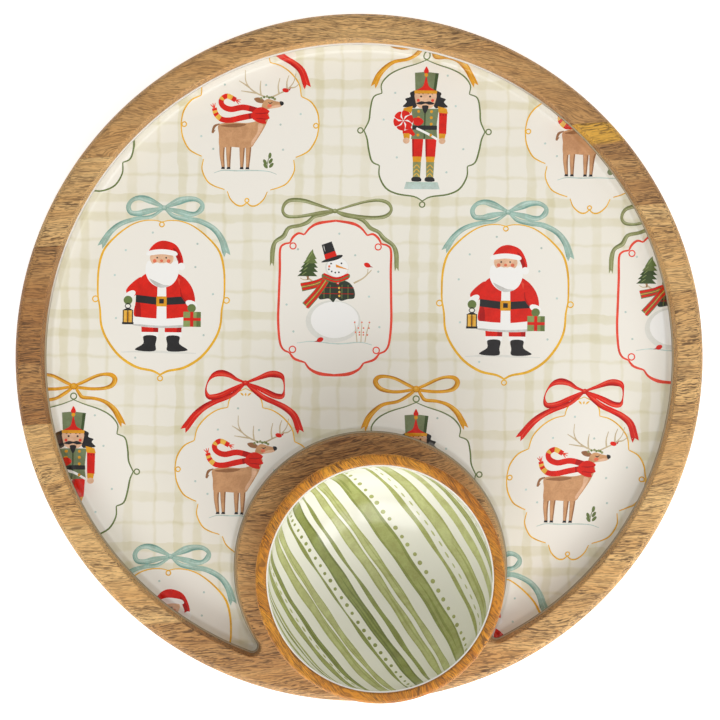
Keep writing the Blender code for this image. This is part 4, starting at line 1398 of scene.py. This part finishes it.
def mango_wood(name, tones, bearing, shift, pith, wave=14.0, heartwood_and_shade=(0.3, 0.3, 0.3), streak=None):
    """Oiled mango: a soft satin, a plain-sawn ring figure, brown heartwood zones that also carry painted
    shade, and short dark pores.

    The pores are drawn about twice as wide and as long as real ones, so that they show at arm's length.
    Heartwood and shade is how much brown darkening shows at the left, in the middle and at the right; where
    the bowl's shadow falls it is painted shade as well as heartwood.
    """
    dark, mid, light = tones
    material, tree, shader = new_material(name, 0.5)
    add = partial(add_node, tree)
    place = grain_place(tree, bearing)
    seeded = add(VECTOR, place, shift, operation="ADD")
    warp = pattern(tree, seeded, 0.008, 0.022, 2.0)
    wander = pattern(tree, seeded, 0.05, 0.1, 2.0)
    parts = add("ShaderNodeSeparateXYZ", place).node.outputs
    bent = add(MATH, parts["Y"], add(RANGE, warp, 0.0, 1.0, -2.0 * wave, 2.0 * wave), operation="ADD")
    bent = add(MATH, bent, add(RANGE, wander, 0.0, 1.0, -0.1 * wave, 0.1 * wave), operation="ADD")
    across = add(MATH, bent, pith[0], operation="SUBTRACT")
    depth = add(MATH, parts["Z"], pith[1], operation="SUBTRACT")
    squares = [add(MATH, value, 2.0, operation="POWER") for value in (across, depth)]
    ring = add(MATH, add(MATH, *squares, operation="ADD"), operation="SQRT")
    slow = add(MATH, parts["X"], 0.004, operation="MULTIPLY")
    ring_place = add("ShaderNodeCombineXYZ", ring, slow, shift[0] * 0.01)
    grain = add(VECTOR, add("ShaderNodeCombineXYZ", parts["X"], across, depth), shift, operation="ADD")
    broad = pattern(tree, ring_place, 0.09, 0.09, 2.0)
    fine = pattern(tree, ring_place, 0.4, 0.4, 3.0)
    fibre = pattern(tree, grain, 0.05, 1.3, 3.0)
    mottle = pattern(tree, grain, 0.03, 0.1, 3.0, 0.4)
    pores = 0.0
    for long, wide, detail, low, high, strength in PORES:
        marks = add(RANGE, pattern(tree, grain, long, wide, detail), low, high, 0.0, strength, **SMOOTH)
        pores = add(MATH, marks, pores, operation="MAXIMUM")
    crowd = add(RANGE, pattern(tree, ring_place, 0.15, 0.15, 1.0), 0.35, 0.6, 0.6, 1.0, **SMOOTH)
    pores = add(MATH, pores, crowd, operation="MULTIPLY")
    tone = add(MIX, 0.45, named={2: broad, 3: fine})
    colour = add(MIX, add(RANGE, tone, 0.32, 0.66, **SMOOTH), named={6: mid, 7: light}, **COLOUR)
    colour = add(MIX, add(RANGE, mottle, 0.42, 0.72, 0.0, 0.4, **SMOOTH), named={6: colour, 7: mid}, **COLOUR)
    colour = add(MIX, add(RANGE, fibre, 0.5, 0.75, 0.0, 0.45, **SMOOTH), named={6: colour, 7: dark}, **COLOUR)
    # Heartwood zones, which on boards 5 and 6 are also painted shade for the bowl's shadow
    left, middle, right = heartwood_and_shade
    zone = add(RANGE, parts["X"], -90.0, -10.0, left, middle, **SMOOTH)
    zone = add(MATH, zone, add(RANGE, parts["X"], 10.0, 90.0, 0.0, right - middle, **SMOOTH), operation="ADD")
    zone = add(MATH, zone, add(RANGE, broad, 0.35, 0.6, 0.6, 1.25, **SMOOTH), operation="MULTIPLY")
    colour = add(MIX, zone, named={6: colour, 7: linear(HEARTWOOD_AND_SHADE)}, blend_type="MULTIPLY", **COLOUR)
    if streak:
        level, half, first, tint = streak
        reach = add(MATH, add(MATH, bent, level, operation="SUBTRACT"), operation="ABSOLUTE")
        sides = add(RANGE, reach, half, half - 3.0, **SMOOTH)
        mask = add(MATH, sides, add(RANGE, parts["X"], first, first + 25.0, **SMOOTH), operation="MULTIPLY")
        colour = add(MIX, mask, named={6: colour, 7: linear(tint)}, **COLOUR)
    covered = add(MATH, pores, 0.85, operation="MULTIPLY")
    tree.links.new(add(MIX, covered, named={6: colour, 7: dark}, **COLOUR), shader["Base Color"])
    tree.links.new(add(RANGE, fibre, 0.3, 0.8, 0.42, 0.58), shader["Roughness"])
    height = add(MATH, add(MATH, fibre, 0.3, operation="MULTIPLY"), pores, operation="SUBTRACT")
    relief = {"Strength": 0.4, "Distance": 0.15 * MM, "Height": height}
    tree.links.new(add("ShaderNodeBump", named=relief), shader["Normal"])
    return material


def enamel(name, sloped=False):
    """White fired enamel: smooth and glossy, with a faint unevenness from spraying.

    In the sloped recess its bare edge carries painted light: white at the back and left, where it catches the
    lamps, and a tan painted shade elsewhere.
    """
    material, tree, shader = new_material(name, 0.22)
    add = partial(add_node, tree)
    place = add("ShaderNodeTexCoord", out="Object")
    cloud = pattern(tree, place, 60.0, 60.0, 2.0)
    colour = add(MIX, cloud, named={6: linear("F1EEE6"), 7: linear("F7F5EF")}, **COLOUR)
    if sloped:
        # Painted highlight and shade on the bare edge: white towards the back and left, tan everywhere else
        side = add(VECTOR, place, (-0.4, 0.92, 0.0), out="Value", operation="DOT_PRODUCT")
        lit_edge = add(RANGE, side, 0.07, 0.13, **SMOOTH)
        colour = add(MIX, lit_edge, named={6: linear("B3A283"), 7: colour}, **COLOUR)
    tree.links.new(colour, shader["Base Color"])
    return material


# Middle, half width and strength of the plaid's bands in millimetres, and where each direction starts
PLAID_PERIOD = 65.0
PLAID_BANDS = ((2.5, 2.6, 1.0), (13.5, 2.3, 1.0), (26.2, 0.7, 0.9), (39.5, 2.6, 0.65), (54.2, 0.7, 0.9))
PLAID_STARTS = (("X", 1.0, 37.5), ("Y", -1.0, 25.3))


def plaid(tree, place, ground, wash):
    """Ground colour under soft crossing bands that waver a little, as washes of watercolour do."""
    add = partial(add_node, tree)
    turned = add(TURN, rotation_type="Z_AXIS", named={"Vector": place, "Angle": -PICTURE_LEAN})
    waver = add(RANGE, pattern(tree, place, 0.09, 0.09, 2.0), 0.3, 0.7, -0.6, 0.6, **SMOOTH)
    cloud = add(RANGE, pattern(tree, place, 0.11, 0.11, 3.0), 0.25, 0.75, 0.65, 1.0, **SMOOTH)
    parts = add("ShaderNodeSeparateXYZ", turned).node.outputs
    colour = ground
    for axis, way, start in PLAID_STARTS:
        along = add(MATH, add(MATH, parts[axis], way, operation="MULTIPLY"), waver, operation="ADD")
        along = add(MATH, along, 10.0 * PLAID_PERIOD + start, operation="ADD")
        along = add(MATH, along, PLAID_PERIOD, operation="MODULO")
        total = 0.0
        for middle, half, strength in PLAID_BANDS:
            reach = add(MATH, add(MATH, along, middle, operation="SUBTRACT"), operation="ABSOLUTE")
            band = add(RANGE, reach, half + 0.9, half - 0.8, 0.0, strength, **SMOOTH)
            total = add(MATH, band, total, operation="ADD")
        total = add(MATH, total, cloud, operation="MULTIPLY")
        colour = add(MIX, total, named={6: colour, 7: wash}, blend_type="MULTIPLY", **COLOUR)
    return colour


def printed_enamel(name, roughness, ground, wash=None):
    """Glossy printed glaze: inks with the uneven strength of watercolour over a pale ground.

    The one with a plaid is darker up the recess's cove and wall, more the steeper the face: painted shade.
    """
    material, tree, shader = new_material(name, roughness, 0.35)
    add = partial(add_node, tree)
    place = grain_place(tree, 0.0)
    ink = add("ShaderNodeAttribute", attribute_name="ink").node.outputs
    base = plaid(tree, place, ground, wash) if wash else ground
    pool = pattern(tree, place, 0.16, 0.16, 4.0, 0.6)
    grains = pattern(tree, place, 1.1, 1.1, 2.0)
    strength = add(RANGE, add(MIX, 0.3, named={2: pool, 3: grains}), 0.3, 0.7, **SMOOTH)
    deep = add(MIX, 1.0, named={6: ink["Color"], 7: linear("E2DCD6")}, blend_type="MULTIPLY", **COLOUR)
    painted = add(MIX, strength, named={6: ink["Color"], 7: deep}, **COLOUR)
    pale = add(RANGE, ink["Fac"], 0.65, 0.8, **SMOOTH)
    painted = add(MIX, pale, named={6: painted, 7: ink["Color"]}, **COLOUR)
    colour = add(MIX, ink["Alpha"], named={6: base, 7: painted}, **COLOUR)
    if wash:
        # Painted shade: the print darkens the steeper its face up the cove and wall
        facing = add("ShaderNodeTexCoord", out="Normal")
        level = add("ShaderNodeSeparateXYZ", facing, out="Z")
        steep_shade = add(RANGE, level, 1.0, 0.7, 0.0, 0.4, **SMOOTH)
        colour = add(MIX, steep_shade, named={6: colour, 7: linear("CFCBC3")}, blend_type="MULTIPLY", **COLOUR)
    tree.links.new(colour, shader["Base Color"])
    return material


# ---------------------------------------------------------------- operators


class BuildOperator(bpy.types.Operator):
    """Shared parts of this file's operators."""

    bl_options = {"REGISTER", "UNDO"}


class SERVER_OT_boards(BuildOperator):
    """Builds the tray's seven glued mango boards."""

    bl_idname = "server.boards"
    bl_label = "Tray boards"

    def execute(self, context):
        chosen = settings("tray")
        shape = TrayShape()
        blank = carved_blank(shape)
        beyond = TRAY_RADIUS * 1.1
        edges = [beyond, *GLUE_LINES, -beyond]
        tones = (chosen.dark[:], chosen.mid[:], chosen.light[:])
        # Grain bearing, place in the log, pith, wave, heartwood and painted shade from left to right, and a
        # bright streak
        looks = (
            (-1.0, (40.0, 20.0, 8.0), (140.0, -40.0), 11.0, (0.5, 0.1, 0.7), None),
            (4.0, (-90.0, 65.0, 40.0), (30.0, -70.0), 6.0, (0.15, 0.3, 0.7), (118.0, 8.0, 80.0, "DDA63C")),
            (3.0, (210.0, -30.0, 90.0), (-20.0, -60.0), 7.0, (0.95, 0.5, 0.05), None),
            (6.0, (-310.0, 15.0, 20.0), (60.0, -60.0), 6.0, (1.0, 0.5, 0.2), None),
            # Boards 5 and 6 are darkest in the middle, round the collar: heartwood, and painted shade for the
            # bowl's shadow there
            (8.0, (130.0, -80.0, 10.0), (-100.0, -80.0), 7.0, (0.05, 0.95, 0.05), None),
            (2.0, (460.0, 45.0, 60.0), (-60.0, -70.0), 6.0, (0.1, 1.5, 0.0), None),
            (5.0, (-520.0, -25.0, 30.0), (-220.0, -60.0), 7.0, (0.6, 0.5, 0.3), None),
        )
        for i, (bearing, *figure) in enumerate(looks):
            number = i + 1
            wood = mango_wood(f"Oiled mango board {number}", tones, math.radians(bearing), *figure)
            high = edges[i] - (shape.glue_gap / 2.0 if i else 0.0)
            low = edges[i + 1] + (shape.glue_gap / 2.0 if i < len(looks) - 1 else 0.0)
            made = board(f"board_{number}", blank, high, low, wood)
            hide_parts(f"tray_board_{number}")
            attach(made, "tray")
        blank.free()
        return {"FINISHED"}


class SERVER_OT_tray_enamel(BuildOperator):
    """Builds the white enamel in the crescent recess."""

    bl_idname = "server.tray_enamel"
    bl_label = "Tray enamel"

    def execute(self, context):
        shape = TrayShape()
        look = enamel("Fired white enamel", sloped=True)
        made = lining("recess_enamel", shape, COAT_START, GROUND_COAT, shape.lining_top, look)
        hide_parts("tray_enamel")
        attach(made, "tray")
        return {"FINISHED"}


class SERVER_OT_tray_print(BuildOperator):
    """Builds the printed layer with framed pictures over a plaid."""

    bl_idname = "server.tray_print"
    bl_label = "Tray print"

    def execute(self, context):
        chosen = settings("print")
        shape = TrayShape()
        section = shape.section(PRINT_COAT, shape.lining_top - WHITE_MARGIN, steps=5)
        boundary, *rings = [shape.crescent(inset, steps=(180, 8, 72)) for inset, _ in section]
        shapes = picture_shapes(deer_picture(), "deer", DEER_PLACES)
        shapes += picture_shapes(soldier_picture(), "soldier", SOLDIER_PLACES)
        shapes += picture_shapes(bearded_picture(), "bearded", BEARDED_PLACES)
        shapes += picture_shapes(snowman_picture(), "snowman", SNOWMAN_PLACES)
        look = printed_enamel("Printed glaze on enamel", 0.26, chosen.ground[:], chosen.plaid[:])

        def top_at(x, y):
            return (x, y, shape.height_at(shape.inset_at(x, y), PRINT_COAT))

        def bottom_at(x, y):
            return (x, y, top_at(x, y)[2] - PRINT_SHEET)

        made = printed_sheet("recess_print", boundary, rings, shapes, top_at, bottom_at, look)
        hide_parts("tray_print")
        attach(made, "tray")
        return {"FINISHED"}


class SERVER_OT_bowl(BuildOperator):
    """Builds the turned mango bowl."""

    bl_idname = "server.bowl"
    bl_label = "Bowl"

    def execute(self, context):
        chosen = settings("bowl")
        tones = (chosen.dark[:], chosen.mid[:], chosen.light[:])
        figure = {"shift": (15.0, 60.0, 20.0), "pith": (20.0, -70.0), "heartwood_and_shade": (0.0, 0.1, 0.3)}
        wood = mango_wood("Turned mango", tones, math.radians(-50.0), **figure)
        made = turned_piece("bowl_body", BowlShape().wood_profile(), BOWL_CENTRE, wood)
        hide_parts("bowl_wood")
        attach(made, "bowl")
        return {"FINISHED"}


class SERVER_OT_bowl_enamel(BuildOperator):
    """Builds the white enamel inside the bowl."""

    bl_idname = "server.bowl_enamel"
    bl_label = "Bowl enamel"

    def execute(self, context):
        profile = BowlShape().coat_profile(COAT_START, GROUND_COAT)
        made = turned_piece("bowl_lining", profile, BOWL_CENTRE, enamel("Fired white bowl enamel"))
        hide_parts("bowl_enamel")
        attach(made, "bowl")
        return {"FINISHED"}


class SERVER_OT_bowl_print(BuildOperator):
    """Builds the striped printed layer inside the bowl."""

    bl_idname = "server.bowl_print"
    bl_label = "Bowl print"

    def execute(self, context):
        shape = BowlShape()
        decal = Decal(shape, PRINT_COAT, shape.lining_drop + WHITE_MARGIN)
        radii = [decal.radius * (i / DECAL_RINGS) for i in range(DECAL_RINGS, 0, -1)]
        counts = [max(16, int(radius * DECAL_POINTS_PER_MM)) for radius in radii]
        boundary, *rings = [circle((0.0, 0.0), radius, count) for radius, count in zip(radii, counts)]
        made = printed_sheet(
            "bowl_stripes",
            boundary,
            rings,
            stripe_shapes(),
            decal.placer(shape, PRINT_COAT),
            decal.placer(shape, PRINT_START),
            printed_enamel("Brushed stripes under glaze", 0.14, settings("print").stripe_ground[:]),
        )
        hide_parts("bowl_print")
        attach(made, "bowl")
        return {"FINISHED"}


# Half the floor's side in millimetres; the key lights' distance and what they point at in metres
FLOOR_HALF = 4000.0
KEY_DISTANCE = 1.6
KEY_TARGET = (0.0, -0.06, 0.03)


def area_light(name, place, target, size, power):
    lamp = bpy.data.lights.new(name, "AREA")
    lamp.shape = "RECTANGLE"
    lamp.size, lamp.size_y = size
    lamp.energy = power
    made = link_object(name, lamp)
    made.location = place
    made.rotation_euler = (Vector(target) - Vector(place)).to_track_quat("-Z", "Y").to_euler()


class SERVER_OT_stage(BuildOperator):
    """Sets the floor, the soft lights and the camera straight above."""

    bl_idname = "server.stage"
    bl_label = "Stage"

    def execute(self, context):
        chosen = settings("stage")
        scene = context.scene
        sweep, _, shader = new_material("Matt white paper sweep", 0.9)
        shader["Base Color"].default_value = chosen.floor[:]
        shader["Emission Color"].default_value = chosen.floor[:]
        shader["Emission Strength"].default_value = 0.6
        corners = [(x * FLOOR_HALF, y * FLOOR_HALF, 0.0) for x, y in ((-1, -1), (1, -1), (1, 1), (-1, 1))]
        floor = mesh_object("floor", corners, [(0, 1, 2, 3)], [sweep])
        world = bpy.data.worlds.new("Studio")
        world.use_nodes = True
        backdrop = world.node_tree.nodes["Background"].inputs
        backdrop["Color"].default_value = linear("FFFFFF")
        backdrop["Strength"].default_value = chosen.ambient
        scene.world = world
        for name, bearing, height, size, share in (
            ("key_right", -51.0, 27.0, (0.75, 0.6), 0.33),
            ("key_left", -97.0, 28.0, (1.2, 0.75), 0.67),
        ):
            turn = Matrix.Rotation(math.radians(bearing), 3, "Z")
            place = turn @ Matrix.Rotation(math.radians(-height), 3, "Y") @ Vector((KEY_DISTANCE, 0.0, 0.0))
            area_light(name, place, KEY_TARGET, size, chosen.key_power * share)
        area_light("overhead", (1.1, -0.1, 1.7), (0.0, 0.0, 0.0), (2.2, 2.2), chosen.key_power * 0.36)
        camera = bpy.data.cameras.new("camera")
        camera.lens = chosen.focal_length
        camera.dof.use_dof = False
        scene.camera = link_object("camera", camera)
        scene.camera.location = (0.5 * MM, -1.44 * MM, TRAY_HEIGHT * MM + chosen.camera_height)
        scene.view_settings.view_transform = "Standard"
        return {"FINISHED"}


OPERATORS = (
    SERVER_OT_boards,
    SERVER_OT_tray_enamel,
    SERVER_OT_tray_print,
    SERVER_OT_bowl,
    SERVER_OT_bowl_enamel,
    SERVER_OT_bowl_print,
    SERVER_OT_stage,
)
GROUPS = {"tray": TraySettings, "bowl": BowlSettings, "print": PrintSettings, "stage": StageSettings}


class SERVER_PT_panel(bpy.types.Panel):
    """Lists the server's pieces and settings."""

    bl_idname = "SERVER_PT_panel"
    bl_label = "Chip and Dip Server"
    bl_space_type = "VIEW_3D"
    bl_region_type = "UI"
    bl_category = "Server"

    def draw(self, context):
        for operator in OPERATORS:
            self.layout.operator(operator.bl_idname)
        for name, group in GROUPS.items():
            box = self.layout.box()
            for field in group.__annotations__:
                box.prop(settings(name), field)


def register():
    for kind in (*GROUPS.values(), *OPERATORS, SERVER_PT_panel):
        bpy.utils.register_class(kind)
    for name, group in GROUPS.items():
        setattr(bpy.types.Scene, f"server_{name}", bpy.props.PointerProperty(type=group))


def unregister():
    for name in GROUPS:
        delattr(bpy.types.Scene, f"server_{name}")
    for kind in reversed((*GROUPS.values(), *OPERATORS, SERVER_PT_panel)):
        bpy.utils.unregister_class(kind)


def main():
    register()
    for operator in OPERATORS:
        group, action = operator.bl_idname.split(".")
        getattr(getattr(bpy.ops, group), action)()


if __name__ == "__main__":
    main()
